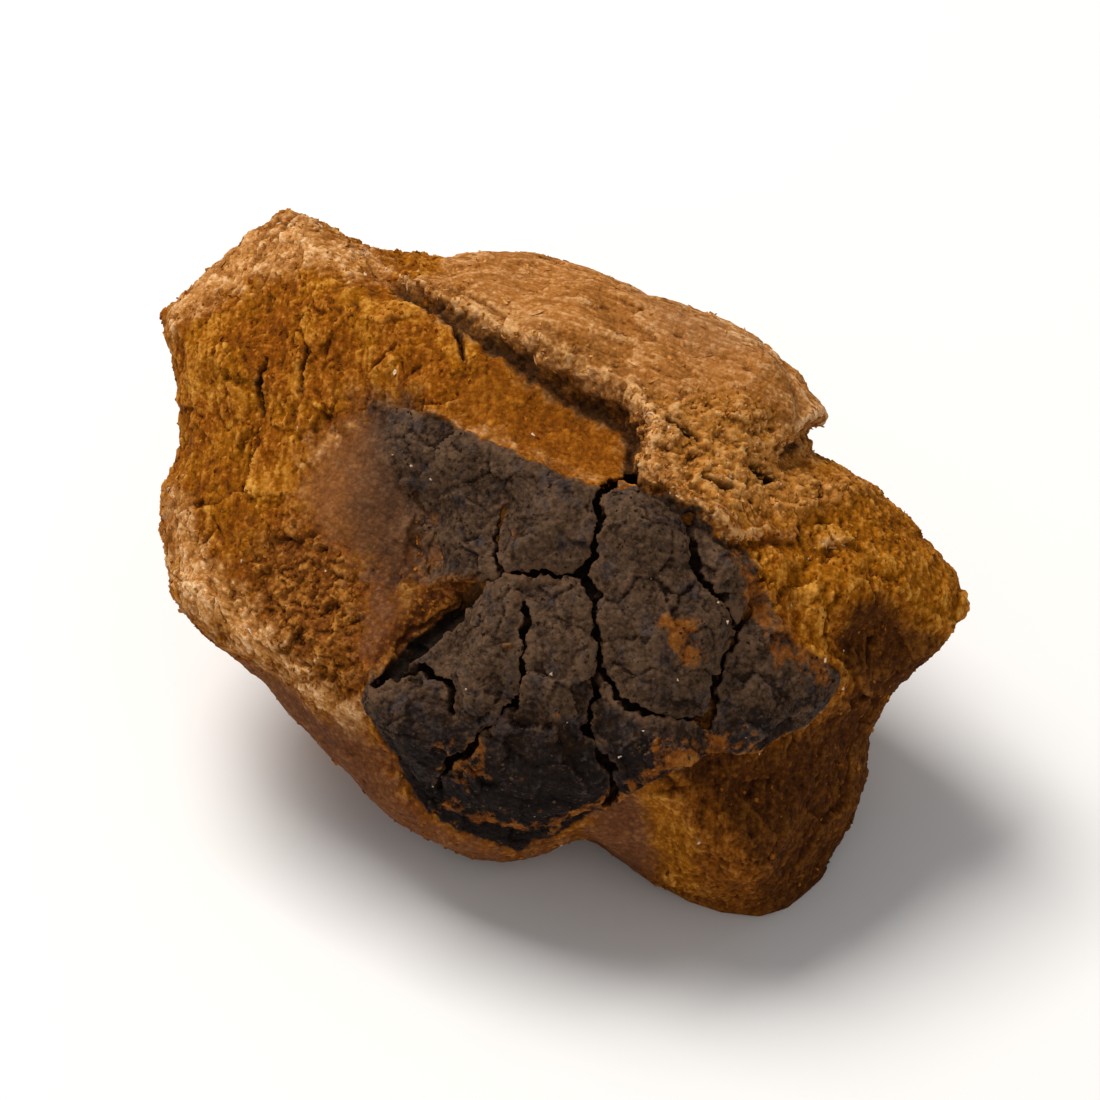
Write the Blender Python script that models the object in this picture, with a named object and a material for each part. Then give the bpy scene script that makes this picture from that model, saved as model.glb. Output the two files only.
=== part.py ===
"""A chunk of chaga, the woody fungus of birch trees, as it is broken up and dried.

It is one solid, so it is one object. Its form is drawn in millimetres from its middle, as it is seen from
the front and above: across to the right, up the face, and out of the face towards the eye. Those three
directions are turned into the row frame at the end, with +Z up and the chunk on its flat underside.

The form is a ball of directions. Each direction gets a radius from the outline, from the broken facets and
from the relief on them, so the surface never folds over itself. The ball's front is meshed along the cracks
and the lips, so that their edges run clean.
"""

import math

import bmesh
import bpy
from mathutils import Vector, noise
from mathutils.geometry import delaunay_2d_cdt

# Millimetres, unless a line says otherwise.
MM = 0.001
FACE_TILT = math.radians(39)  # the drawn face looks up from the horizon by this much
MIDDLE_HEIGHT = 16.4  # from the flat underside to the chunk's middle
CRISPNESS = 20  # how sharp the edges between the breaks are
RIM_CLOSENESS = 3  # how closely the letting out keeps to the outline
NEARLY_NOUGHT = 1e-6

# The outline seen square on to the face, as (across, up), from the right side round to the left.
OUTLINE = (
    (25.6, -0.6), (22.9, 2.4), (20.4, 4.9), (16.9, 6.4), (15.9, 7.6), (17.4, 9.2), (15.8, 12.1),
    (13.4, 13.8), (9.7, 16.0), (4.2, 18.1), (-1.2, 20.1), (-7.4, 20.3), (-12.4, 20.6), (-15.7, 22.2),
    (-17.4, 23.1), (-20.8, 21.3), (-24.2, 18.3), (-26.8, 15.9), (-25.5, 13.2), (-25.0, 11.0),
    (-25.2, 8.2), (-25.3, 6.4), (-26.6, 4.6), (-26.0, 1.6), (-24.8, -1.7), (-23.0, -4.7), (-19.7, -7.9),
    (-15.3, -12.3), (-9.0, -17.7), (-3.0, -19.9), (2.0, -18.2), (5.6, -20.6), (10.4, -22.6),
    (14.2, -23.0), (17.0, -20.0), (19.2, -16.4), (20.2, -12.0), (22.2, -8.4), (25.0, -6.0), (26.5, -3.2),
)
LEAN_ACROSS, LEAN_UP = 0.10, -0.16  # how far the outline leans out of the face, per millimetre

# Flat breaks: (across, up, out) of the way each one faces, and its distance from the middle.
BREAKS = (
    ((-0.36, 0.10, 0.93), 15.2),  # grainy face on the left
    ((-0.46, 0.66, 0.60), 21.4),  # bevel at the top left corner
    ((0.04, 0.80, 0.60), 18.4),  # bevel along the top
    ((0.30, 0.52, 0.80), 16.2),  # the pale ledge
    ((0.66, 0.22, 0.72), 18.4),  # grainy right shoulder
    ((0.08, -0.14, 0.99), 16.4),  # the crust's upper plates
    ((-0.10, -0.66, 0.75), 17.2),  # the crust's lower plates
    ((0.50, -0.44, 0.75), 18.6),  # the crust's right plates
    ((0.66, -0.66, 0.36), 21.6),  # lower right side
    ((0.20, -0.92, 0.34), 20.2),  # under the crust
    ((-0.58, -0.64, 0.50), 19.4),  # smooth slope, lower left
    ((-0.94, -0.10, 0.34), 24.4),  # left end
    ((0.86, 0.10, -0.50), 21.6),  # right end, behind
    ((-0.70, 0.30, -0.65), 21.8),  # back left
    ((0.42, 0.50, -0.76), 17.6),  # back right
    ((-0.22, 0.84, -0.50), 19.6),  # back, under the top edge
    ((-0.20, 0.10, -0.98), 17.2),  # back
    ((0.62, -0.40, -0.68), 20.8),  # right, low
    ((-0.70, -0.52, -0.48), 18.0),  # left, low
)

# The lip of the raised layer, from the top edge to the right shoulder, with its rise at each point.
LIP = (
    (-11.8, 19.4, 0.2), (-8.8, 17.0, 0.8), (-3.6, 13.9, 1.3), (-0.8, 12.2, 1.9), (4.0, 9.8, 2.3),
    (5.6, 7.8, 2.2), (5.2, 5.3, 1.5), (8.1, 3.0, 1.3), (11.2, 1.0, 1.2), (14.3, 1.3, 0.7), (18.0, 0.5, 0.1),
)
LIP_FOOT, LIP_TOP = -0.35, 0.35  # where the lip's step starts and ends, from its line
LAYER_REACH = (9, 17)  # the raised layer thins out between these distances from its lip
# The edge of the black crust, all the way round, with the height of its step at each point.
CRUST = (
    (-12.3, 10.2, 0.2), (-8.8, 9.4, 0.4), (-5.8, 7.9, 0.6), (-1.3, 5.8, 0.6), (2.5, 4.2, 0.5),
    (5.2, 4.6, 0.4), (8.6, 2.8, 0.5), (11.0, 0.8, 0.5), (13.0, 0.5, 0.4), (14.2, -2.2, 0.3),
    (15.6, -5.0, 0.5), (18.4, -7.2, 0.7), (16.8, -9.8, 1.0), (13.2, -12.6, 1.2), (9.8, -12.7, 1.2),
    (6.4, -13.4, 1.1), (3.3, -15.9, 1.0), (-2.0, -17.6, 0.8), (-7.4, -15.6, 0.7), (-11.2, -11.6, 0.8),
    (-12.4, -9.2, 0.9), (-11.3, -7.4, 0.6), (-8.6, -4.8, 0.4), (-6.6, -3.2, 0.4), (-9.3, -2.2, 0.2),
    (-9.9, 2.0, 0.1), (-11.0, 6.0, 0.1),
)
CRUST_FOOT, CRUST_TOP = -0.25, 0.30  # where the crust's edge starts and ends, from its line
BLEND_REACH = 0.6  # square millimetres: how soon heights along a line blend into one another
PLATE_SWELL, PLATE_ROUNDING = 0.75, 2.4  # how far a plate swells, and how far in from its edge

# Cracks across the crust, as (across, up, half width) from one end to the other.
CRACKS = (
    ((5.4, 5.6, 0.40), (2.8, 4.0, 0.60), (2.4, 1.1, 0.60), (2.1, -1.0, 0.65), (2.4, -4.2, 0.60),
     (2.8, -7.2, 0.60), (4.0, -8.9, 0.65), (6.3, -9.9, 0.70), (9.5, -10.3, 0.55), (9.7, -8.0, 0.50),
     (10.8, -6.1, 0.50), (12.9, -3.4, 0.30)),
    ((2.1, -1.0, 0.60), (-0.2, -1.1, 0.60), (-2.8, -1.2, 0.70), (-5.4, -2.3, 0.95), (-7.3, -4.0, 1.20),
     (-9.6, -5.9, 1.20), (-11.5, -8.2, 0.70)),
    ((-2.0, -3.1, 0.30), (-1.8, -5.7, 0.50), (-2.6, -8.7, 0.60), (-4.3, -10.6, 0.60), (-6.5, -12.9, 0.55),
     (-7.7, -14.4, 0.30)),
    ((-11.0, -7.6, 0.40), (-8.6, -7.2, 0.45), (-7.0, -7.8, 0.45), (-6.3, -9.6, 0.30)),
    ((-3.3, 3.3, 0.30), (-3.8, 1.0, 0.40), (-3.4, -1.2, 0.45)),
    ((-9.3, 4.1, 0.30), (-8.2, 1.9, 0.45), (-8.9, -1.0, 0.35)),
    ((2.7, -7.4, 0.40), (2.0, -10.6, 0.45), (3.6, -12.8, 0.45), (3.2, -15.2, 0.30)),
    ((8.4, 2.4, 0.30), (8.9, -1.2, 0.45), (10.9, -3.2, 0.45), (11.6, -4.9, 0.40)),
)
CRACK_STEEPNESS = 1.9  # depth per half width
# Hollows (below nought) and lumps: across, up, half length, half width, turn in degrees, rise.
FORMS = (
    (1.2, 8.6, 6.2, 2.8, -30, -2.3),  # the amber hollow under the lip
    (14.4, 10.6, 4.8, 2.2, -30, 0.9),  # the pointed end of the pale ledge
    (21.6, -0.4, 4.6, 3.4, -35, 1.6),  # lobe at the right
    (21.8, -6.2, 3.6, 1.7, -12, -2.8),  # recess under the lobe
    (-13.6, 4.6, 3.8, 4.4, 20, 1.1),  # smooth brown swelling beside the crust
    (-9.0, -3.2, 2.4, 2.8, -40, -1.2),  # pocket at the end of the widest crack
    (-18.7, 11.4, 1.3, 5.2, 4, -1.0),  # upright furrows in the left face
    (-13.4, 14.6, 1.2, 4.6, -10, -0.8),
    (-22.6, 7.4, 1.3, 3.8, 0, -1.0),
    (-20.6, 0.6, 2.6, 3.4, 30, 0.9),
    (13.4, 5.4, 1.6, 1.0, -20, -0.7),  # dip in the grainy shoulder
    (16.2, -2.6, 1.0, 3.6, -8, -1.1),  # furrow between crust and lobe
    (9.2, -16.4, 5.2, 2.6, 24, -1.4),  # dished lower right side
    (13.6, -19.4, 3.2, 2.2, 30, 1.0),
    (-4.0, -7.0, 3.4, 5.4, -25, 0.6),  # the plates that stand out most
    (6.4, -4.4, 3.4, 4.6, 6, 0.8),
)
# Lumps all round: size of one lump, then how far it stands out.
LUMPS = ((12.0, 1.5), (5.2, 0.9), (2.6, 0.4))
LUMP_SEED = Vector((3.1, 7.7, 1.9))
RELIEF_START = (0.05, 0.45)  # the relief grows in as a direction turns from the side to the front
RIM_ROOM = 3.2  # what is raised tapers off over this distance from the outline
RIM_CALM, RIM_BAND = 0.55, 0.4  # the lumps are this much lower along the outline, out to this tilt

# The mesh: spacing along the cracks and lips, and the least room left round a point of theirs.
LINE_STEP = 0.85
LINE_ROOM = 0.42
CRACK_CORE = 0.9  # the share of a crack's half width in which no other line gets points
FILL_ROOM = 0.62
FINE_REACH = 1.4  # the mesh is fine inside the crust, and this far round the lips
FINE_SPOTS = ((15.6, 8.4, 4.4), (21.6, -4.8, 4.6), (0.6, 8.6, 4.0))  # more of it: across, up, reach
CUT_ROOM = 0.25  # points this near the cut are drawn on to it
LEAST_EDGE = 0.12
BALL_DIVISIONS = 5
FRONT_START = 0.12  # the newly meshed front starts where a direction points out by this much
WITHIN_THE_RIM = 1  # the triangulation's own number for triangles inside the closed rim
MAP_ROUNDING = 1e-5
SEARCH_START = 16  # how far out the search for a direction starts
SEARCH_STEPS = 12

FLESH_COLOUR = (0.24, 0.075, 0.006, 1)
CRUST_COLOUR = (0.030, 0.018, 0.012, 1)


def smooth_step(low, high, value):
    """0 below low, 1 above high, and a smooth change between."""
    share = min(1, max(0, (value - low) / (high - low)))
    return share * share * (3 - 2 * share)


def outline_marks():
    """The outline as (angle, distance), in order, with one more mark past each end of the turn."""
    marks = sorted((math.atan2(up, across) % math.tau, math.hypot(across, up)) for across, up in OUTLINE)
    before = (marks[-1][0] - math.tau, marks[-1][1])
    after = (marks[0][0] + math.tau, marks[0][1])
    return [before] + marks + [after]


MARKS = outline_marks()


def outline_radius(angle):
    """How far the outline is from the middle at this angle, along straight lines between its points."""
    turn = angle % math.tau
    for (start, near), (end, far) in zip(MARKS, MARKS[1:]):
        if start <= turn <= end:
            return near + (far - near) * (turn - start) / (end - start)
    raise ValueError("the outline has a gap")


def eased_radius(direction):
    """The smallest of the distances to the outline and to each break, with the edges between them eased."""
    across, up, out = direction
    spread = math.hypot(across, up)
    total = (spread / outline_radius(math.atan2(up, across))) ** CRISPNESS
    for facing, distance in BREAKS:
        toward = direction.dot(Vector(facing).normalized())
        if toward > 0:
            total += (toward / distance) ** CRISPNESS
    return total ** (-1 / CRISPNESS)


def broken_radius(direction):
    """The eased radius, let out again near the outline, which the easing draws in."""
    across, up, out = direction
    spread = math.hypot(across, up)
    if spread < NEARLY_NOUGHT:
        return eased_radius(direction)
    level = Vector((across / spread, up / spread, 0))
    let_out = outline_radius(math.atan2(up, across)) / eased_radius(level)
    return eased_radius(direction) * (1 + (let_out - 1) * spread**RIM_CLOSENESS)


def along_segment(point, start, end):
    """The distance from a point to a segment, how far along it that is, and on which side the point lies."""
    run = end - start
    share = min(1, max(0, (point - start).dot(run) / run.length_squared))
    away = point - (start + run * share)
    return away.length, share, run.x * away.y - run.y * away.x


def nearest_on_line(point, line):
    """The distance from a point to a line, the line's third value there, and the side the point lies on."""
    found = []
    for first, second in zip(line, line[1:]):
        distance, share, side = along_segment(point, Vector(first[:2]), Vector(second[:2]))
        found.append((distance, first[-1] + (second[-1] - first[-1]) * share, side))
    return min(found)


def blended_height(point, line):
    """The line's third value, blended between all its segments so that it changes gently off the line."""
    weights = 0
    total = 0
    for first, second in zip(line, line[1:]):
        distance, share, side = along_segment(point, Vector(first[:2]), Vector(second[:2]))
        weight = (distance * distance + BLEND_REACH) ** -2
        weights += weight
        total += weight * (first[-1] + (second[-1] - first[-1]) * share)
    return total / weights


def lip_rise(point):
    """How far the raised layer stands up here: it ends at the lip, and lies above and to the right of it."""
    distance, _, side = nearest_on_line(point, LIP)
    inside = distance if side > 0 else -distance
    fade = smooth_step(LIP_FOOT, LIP_TOP, inside) * (1 - smooth_step(*LAYER_REACH, inside))
    return fade * blended_height(point, LIP)


def crust_depth(point):
    """How far inside the crust's edge a point lies, and below nought outside it."""
    inside = False
    for (ax, ay, _), (bx, by, _) in zip(CRUST, CRUST[1:] + CRUST[:1]):
        if (ay > point.y) != (by > point.y) and point.x < ax + (point.y - ay) * (bx - ax) / (by - ay):
            inside = not inside
    distance = nearest_on_line(point, CRUST + CRUST[:1])[0]
    return distance if inside else -distance


def form_rise(point):
    """The sum of the hollows and lumps here."""
    total = 0
    for across, up, half_length, half_width, degrees, rise in FORMS:
        turn = math.radians(degrees)
        away = point - Vector((across, up))
        along = (away.x * math.cos(turn) + away.y * math.sin(turn)) / half_length
        aside = (away.y * math.cos(turn) - away.x * math.sin(turn)) / half_width
        total += rise * math.exp(-(along * along + aside * aside))
    return total


def crust_rise(point):
    """The crust's step, its swollen plates, and the cracks between them as Vs."""
    depth = crust_depth(point)
    room = depth
    drop = 0
    for crack in CRACKS:
        distance, half_width, side = nearest_on_line(point, crack)
        room = min(room, distance - half_width)
        drop = max(drop, CRACK_STEEPNESS * (half_width - distance))
    rise = smooth_step(CRUST_FOOT, CRUST_TOP, depth) * blended_height(point, CRUST + CRUST[:1])
    return rise + PLATE_SWELL * smooth_step(0, PLATE_ROUNDING, room) - drop


def lump_rise(place):
    """The lumps that cover the whole chunk."""
    return sum(reach * noise.noise(place / size + LUMP_SEED) for size, reach in LUMPS)


def chunk_point(direction):
    """The surface point, as (across, up, out), in one direction from the middle."""
    place = direction * broken_radius(direction)
    relief = lip_rise(place.xy) + crust_rise(place.xy) + form_rise(place.xy)
    if relief > 0:
        room = outline_radius(math.atan2(place.y, place.x)) - place.xy.length
        relief *= smooth_step(0, RIM_ROOM, room)
    relief *= smooth_step(*RELIEF_START, direction.z)
    calm = RIM_CALM * (1 - smooth_step(0, RIM_BAND, abs(direction.z)))
    place += direction * (relief + lump_rise(place) * (1 - calm))
    place.z += LEAN_ACROSS * place.x + LEAN_UP * place.y
    return place


def stand_up(place):
    """Turns (across, up, out) in millimetres into the row frame in metres, above the flat underside."""
    across, up, out = place
    back = up * math.sin(FACE_TILT) - out * math.cos(FACE_TILT)
    high = up * math.cos(FACE_TILT) + out * math.sin(FACE_TILT)
    return Vector((across, back, high + MIDDLE_HEIGHT)) * MM


def drawn_place(direction):
    """Where a direction meets the form, as seen square on to the face."""
    return (direction * broken_radius(direction)).xy


def find_direction(place):
    """The direction that meets the form at a place of the drawn face, closed in on step by step."""
    direction = Vector((place.x, place.y, SEARCH_START)).normalized()
    for _ in range(SEARCH_STEPS):
        miss = (place - drawn_place(direction)) / broken_radius(direction)
        direction = (direction + Vector((miss.x, miss.y, 0))).normalized()
    return direction


def to_map(direction):
    """A direction on a flat map of the ball, whose middle is the middle of the drawn face."""
    spread = math.hypot(direction.x, direction.y)
    if spread < NEARLY_NOUGHT:
        return Vector((0, 0))
    return direction.xy * (math.atan2(spread, direction.z) / spread)


def from_map(spot):
    """The direction that a spot of the map stands for."""
    turn = spot.length
    if turn < NEARLY_NOUGHT:
        return Vector((0, 0, 1))
    aside = spot * (math.sin(turn) / turn)
    return Vector((aside.x, aside.y, math.cos(turn)))


def even_steps(line):
    """Points along a line at even steps: (place, third value, direction across the line)."""
    steps = []
    for first, second in zip(line, line[1:]):
        start, end = Vector(first[:2]), Vector(second[:2])
        run = end - start
        count = max(1, round(run.length / LINE_STEP))
        aside = Vector((-run.y, run.x)).normalized()
        for n in range(count):
            share = n / count
            steps.append((start + run * share, first[-1] + (second[-1] - first[-1]) * share, aside))
    steps.append((Vector(line[-1][:2]), line[-1][-1], steps[-1][2]))
    return steps


def outside_cracks(place):
    """The place itself, or None where it lies between the edges of a crack."""
    for crack in CRACKS:
        distance, half_width, side = nearest_on_line(place, crack)
        if distance < CRACK_CORE * half_width:
            return None
    return place


def mesh_rows():
    """The rows of points that the mesh follows: the foot and edges of each crack, lip and crust edge."""
    rows = [[place for place, half_width, aside in even_steps(crack)] for crack in CRACKS]
    for crack in CRACKS:
        for side in (-1, 1):
            row = [place + aside * half_width * side for place, half_width, aside in even_steps(crack)]
            rows.append([outside_cracks(place) for place in row])
    anticlockwise_crust = CRUST[::-1] + CRUST[-1:]
    for line, offsets in ((LIP, (LIP_FOOT, LIP_TOP)), (anticlockwise_crust, (CRUST_FOOT, CRUST_TOP))):
        for offset in offsets:
            row = [place + aside * offset for place, _, aside in even_steps(line)]
            rows.append([outside_cracks(place) for place in row])
    return rows


def settle_rows(rows):
    """Gives each row's points a number, shared by points too close to part, and links those in a row."""
    places = []
    links = set()
    for row in rows:
        before = None
        for place in row:
            number = None
            if place is not None:
                near = [n for n, other in enumerate(places) if (other - place).length < LINE_ROOM]
                number = min(near, key=lambda n: (places[n] - place).length) if near else len(places)
                if not near:
                    places.append(place)
            if None not in (before, number) and before != number:
                links.add((min(before, number), max(before, number)))
            before = number
    return places, sorted(links)


def wants_fine_mesh(place):
    """Whether a place is on the crust, by a lip or in a spot of its own."""
    in_spot = any((place - Vector(spot[:2])).length < spot[2] for spot in FINE_SPOTS)
    return in_spot or crust_depth(place) > -FINE_REACH or nearest_on_line(place, LIP)[0] < FINE_REACH


def fill_spots(front, rim, places):
    """Map spots for the rest of the front: the ball's own points, with more of them where it is fine."""
    inner = {vertex for face in front for vertex in face.verts} - rim
    directions = [vertex.co.copy() for vertex in sorted(inner, key=lambda vertex: vertex.index)]
    edges = {edge for face in front for edge in face.edges if not set(edge.verts) <= rim}
    for edge in sorted(edges, key=lambda edge: edge.index):
        middle = (edge.verts[0].co + edge.verts[1].co).normalized()
        if wants_fine_mesh(drawn_place(middle)):
            directions.append(middle)
    spots = []
    for direction in directions:
        place = drawn_place(direction)
        if min((place - other).length for other in places) > FILL_ROOM:
            spots.append(to_map(direction))
    return spots


def mesh_ball():
    """A ball of directions, whose front is meshed along the cracks and lips."""
    mesh = bmesh.new()
    bmesh.ops.create_icosphere(mesh, subdivisions=BALL_DIVISIONS, radius=1)
    mesh.verts.index_update()
    mesh.edges.index_update()
    front = {face for face in mesh.faces if face.calc_center_median().z > FRONT_START}
    rim_edges = [edge for edge in mesh.edges if len(front.intersection(edge.link_faces)) == 1]
    rim = sorted({vertex for edge in rim_edges for vertex in edge.verts}, key=lambda vertex: vertex.index)
    places, links = settle_rows(mesh_rows())
    spots = [to_map(find_direction(place)) for place in places]
    number = {vertex: len(spots) + n for n, vertex in enumerate(rim)}
    held = {n: vertex for vertex, n in number.items()}
    spots += [to_map(vertex.co) for vertex in rim]
    links += [tuple(number[vertex] for vertex in edge.verts) for edge in rim_edges]
    spots += fill_spots(front, set(rim), places)
    bmesh.ops.delete(mesh, geom=list(front), context="FACES")
    found, _, triangles, origins, _, _ = delaunay_2d_cdt(spots, links, [], WITHIN_THE_RIM, MAP_ROUNDING, True)
    corners = []
    for spot, sources in zip(found, origins):
        shared = [held[n] for n in sources if n in held]
        corners.append(shared[0] if shared else mesh.verts.new(from_map(spot)))
    for triangle in triangles:
        mesh.faces.new([corners[n] for n in triangle])
    bmesh.ops.recalc_face_normals(mesh, faces=mesh.faces[:])
    return mesh


def cut_flat_underside(mesh):
    """Cuts the chunk off at the surface it rests on, and closes the cut."""
    for vertex in mesh.verts:
        if abs(vertex.co.z) < CUT_ROOM * MM:
            vertex.co.z = 0
    everything = mesh.verts[:] + mesh.edges[:] + mesh.faces[:]
    bmesh.ops.bisect_plane(mesh, geom=everything, plane_co=(0, 0, 0), plane_no=(0, 0, -1), clear_outer=True)
    rim = [edge for edge in mesh.edges if edge.is_boundary]
    bmesh.ops.holes_fill(mesh, edges=rim)
    bmesh.ops.triangulate(mesh, faces=mesh.faces[:])
    bmesh.ops.remove_doubles(mesh, verts=mesh.verts[:], dist=LEAST_EDGE * MM)


def plain_material(name, colour, roughness):
    """A material of one colour."""
    material = bpy.data.materials.new(name)
    material.use_nodes = True
    shader = material.node_tree.nodes["Principled BSDF"]
    shader.inputs["Base Color"].default_value = colour
    shader.inputs["Roughness"].default_value = roughness
    shader.inputs["Metallic"].default_value = 0
    return material


def make_chunk():
    """The whole chunk, with the black crust's faces in their own material."""
    mesh = mesh_ball()
    on_crust = {}
    for vertex in mesh.verts:
        direction = vertex.co.normalized()
        on_crust[vertex] = direction.z > 0 and crust_depth(drawn_place(direction)) > 0
        vertex.co = stand_up(chunk_point(direction))
    for face in mesh.faces:
        face.material_index = int(sum(on_crust[vertex] for vertex in face.verts) > 1)
    cut_flat_underside(mesh)
    data = bpy.data.meshes.new("chaga_chunk")
    mesh.to_mesh(data)
    mesh.free()
    data.materials.append(plain_material("corky_flesh", FLESH_COLOUR, 0.85))
    data.materials.append(plain_material("black_crust", CRUST_COLOUR, 0.6))
    chunk = bpy.data.objects.new("chaga_chunk", data)
    bpy.context.scene.collection.objects.link(chunk)
    return chunk


for old in list(bpy.data.objects):
    bpy.data.objects.remove(old)
make_chunk()
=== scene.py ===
"""A broken chunk of dried chaga, dressed: rough golden flesh, a pale fibrous ledge and a black cracked crust.

Places on the chunk are given in millimetres from its middle, as they are seen square on to its face, from the
front and above: across to the right, up the face, and out of the face towards the eye.
"""

import math
import random

import bmesh
import bpy
import numpy as np
from bpy.props import FloatProperty, FloatVectorProperty, IntProperty, PointerProperty
from mathutils import Matrix, Vector, noise


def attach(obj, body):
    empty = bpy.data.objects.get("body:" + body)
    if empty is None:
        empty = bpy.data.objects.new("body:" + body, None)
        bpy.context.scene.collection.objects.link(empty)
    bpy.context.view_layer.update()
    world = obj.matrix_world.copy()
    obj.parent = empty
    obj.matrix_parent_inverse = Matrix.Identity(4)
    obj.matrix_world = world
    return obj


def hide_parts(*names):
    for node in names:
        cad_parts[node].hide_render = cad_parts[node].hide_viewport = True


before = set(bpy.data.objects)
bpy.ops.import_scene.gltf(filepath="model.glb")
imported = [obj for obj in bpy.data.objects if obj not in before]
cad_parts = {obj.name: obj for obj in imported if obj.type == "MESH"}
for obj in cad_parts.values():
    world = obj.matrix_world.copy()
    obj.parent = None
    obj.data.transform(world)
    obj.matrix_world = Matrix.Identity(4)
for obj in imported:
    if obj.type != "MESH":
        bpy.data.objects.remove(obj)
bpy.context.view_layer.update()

bl_info = {
    "name": "Chaga chunk",
    "version": (1, 0, 0),
    "blender": (4, 5, 0),
    "location": "View3D > Sidebar > Chaga",
    "description": "Dresses the solid of a dried chaga chunk with its flesh, crust, crumbs and fibres",
    "category": "Object",
}

NODE = "chaga_chunk"
BODY = "root"
FACE, CRUST, BACK = "flesh_face", "black_crust", "flesh_back"
CRUMBS, GRIT, FIBRES = "flesh_crumbs", "crust_grit", "pale_fibres"
MM = 0.001
NEARLY_NOUGHT = 1e-6

# The form that the solid is made to, in millimetres.
FACE_TILT = math.radians(39)  # the drawn face looks up from the horizon by this much
MIDDLE_HEIGHT = 16.4  # from the flat underside to the chunk's middle
CRISPNESS, RIM_CLOSENESS = 20, 3
LEAN_ACROSS, LEAN_UP = 0.10, -0.16
OUTLINE = (
    (25.6, -0.6), (22.9, 2.4), (20.4, 4.9), (16.9, 6.4), (15.9, 7.6), (17.4, 9.2), (15.8, 12.1),
    (13.4, 13.8), (9.7, 16.0), (4.2, 18.1), (-1.2, 20.1), (-7.4, 20.3), (-12.4, 20.6), (-15.7, 22.2),
    (-17.4, 23.1), (-20.8, 21.3), (-24.2, 18.3), (-26.8, 15.9), (-25.5, 13.2), (-25.0, 11.0),
    (-25.2, 8.2), (-25.3, 6.4), (-26.6, 4.6), (-26.0, 1.6), (-24.8, -1.7), (-23.0, -4.7), (-19.7, -7.9),
    (-15.3, -12.3), (-9.0, -17.7), (-3.0, -19.9), (2.0, -18.2), (5.6, -20.6), (10.4, -22.6),
    (14.2, -23.0), (17.0, -20.0), (19.2, -16.4), (20.2, -12.0), (22.2, -8.4), (25.0, -6.0), (26.5, -3.2),
)
# Flat breaks: (across, up, out) of the way each one faces, and its distance from the middle.
BREAKS = (
    ((-0.36, 0.10, 0.93), 15.2), ((-0.46, 0.66, 0.60), 21.4), ((0.04, 0.80, 0.60), 18.4),
    ((0.30, 0.52, 0.80), 16.2), ((0.66, 0.22, 0.72), 18.4), ((0.08, -0.14, 0.99), 16.4),
    ((-0.10, -0.66, 0.75), 17.2), ((0.50, -0.44, 0.75), 18.6), ((0.66, -0.66, 0.36), 21.6),
    ((0.20, -0.92, 0.34), 20.2), ((-0.58, -0.64, 0.50), 19.4), ((-0.94, -0.10, 0.34), 24.4),
    ((0.86, 0.10, -0.50), 21.6), ((-0.70, 0.30, -0.65), 21.8), ((0.42, 0.50, -0.76), 17.6),
    ((-0.22, 0.84, -0.50), 19.6), ((-0.20, 0.10, -0.98), 17.2), ((0.62, -0.40, -0.68), 20.8),
    ((-0.70, -0.52, -0.48), 18.0),
)

# Lines of the drawn face. The raised side of a lip lies to the left of its line; its last value is its rise.
LIPS = (
    (
        (-11.8, 19.4, 1.2), (-8.8, 17.0, 1.8), (-3.6, 13.9, 1.9), (-0.8, 12.2, 2.1), (4.0, 9.8, 2.3),
        (5.6, 7.8, 2.2), (5.2, 5.3, 1.5), (8.1, 3.0, 1.1), (11.2, 1.0, 0.9), (14.3, 1.3, 0.5),
        (18.0, 0.5, 0.1),
    ),
    (
        (14.4, 6.4, 0.4), (15.5, 7.7, 1.4), (16.8, 9.3, 2.2), (15.3, 11.5, 2.0), (13.0, 13.2, 1.7),
        (9.6, 15.2, 1.3), (4.2, 17.3, 0.9), (-1.2, 19.2, 0.5),
    ),
)
# The cracks, with their half width.
CRACKS = (
    ((5.4, 5.6, 0.40), (2.8, 4.0, 0.60), (2.4, 1.1, 0.60), (2.1, -1.0, 0.65), (2.4, -4.2, 0.60),
     (2.8, -7.2, 0.60), (4.0, -8.9, 0.65), (6.3, -9.9, 0.70), (9.5, -10.3, 0.55), (9.7, -8.0, 0.50),
     (10.8, -6.1, 0.50), (12.9, -3.4, 0.30)),
    ((2.1, -1.0, 0.60), (-0.2, -1.1, 0.60), (-2.8, -1.2, 0.70), (-5.4, -2.3, 0.95), (-7.3, -4.0, 1.20),
     (-9.6, -5.9, 1.20), (-11.5, -8.2, 0.70)),
    ((-2.0, -3.1, 0.30), (-1.8, -5.7, 0.50), (-2.6, -8.7, 0.60), (-4.3, -10.6, 0.60), (-6.5, -12.9, 0.55),
     (-7.7, -14.4, 0.30)),
    ((-11.0, -7.6, 0.40), (-8.6, -7.2, 0.45), (-7.0, -7.8, 0.45), (-6.3, -9.6, 0.30)),
    ((-3.3, 3.3, 0.30), (-3.8, 1.0, 0.40), (-3.4, -1.2, 0.45)),
    ((-9.3, 4.1, 0.30), (-8.2, 1.9, 0.45), (-8.9, -1.0, 0.35)),
    ((2.7, -7.4, 0.40), (2.0, -10.6, 0.45), (3.6, -12.8, 0.45), (3.2, -15.2, 0.30)),
    ((8.4, 2.4, 0.30), (8.9, -1.2, 0.45), (10.9, -3.2, 0.45), (11.6, -4.9, 0.40)),
)
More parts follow.
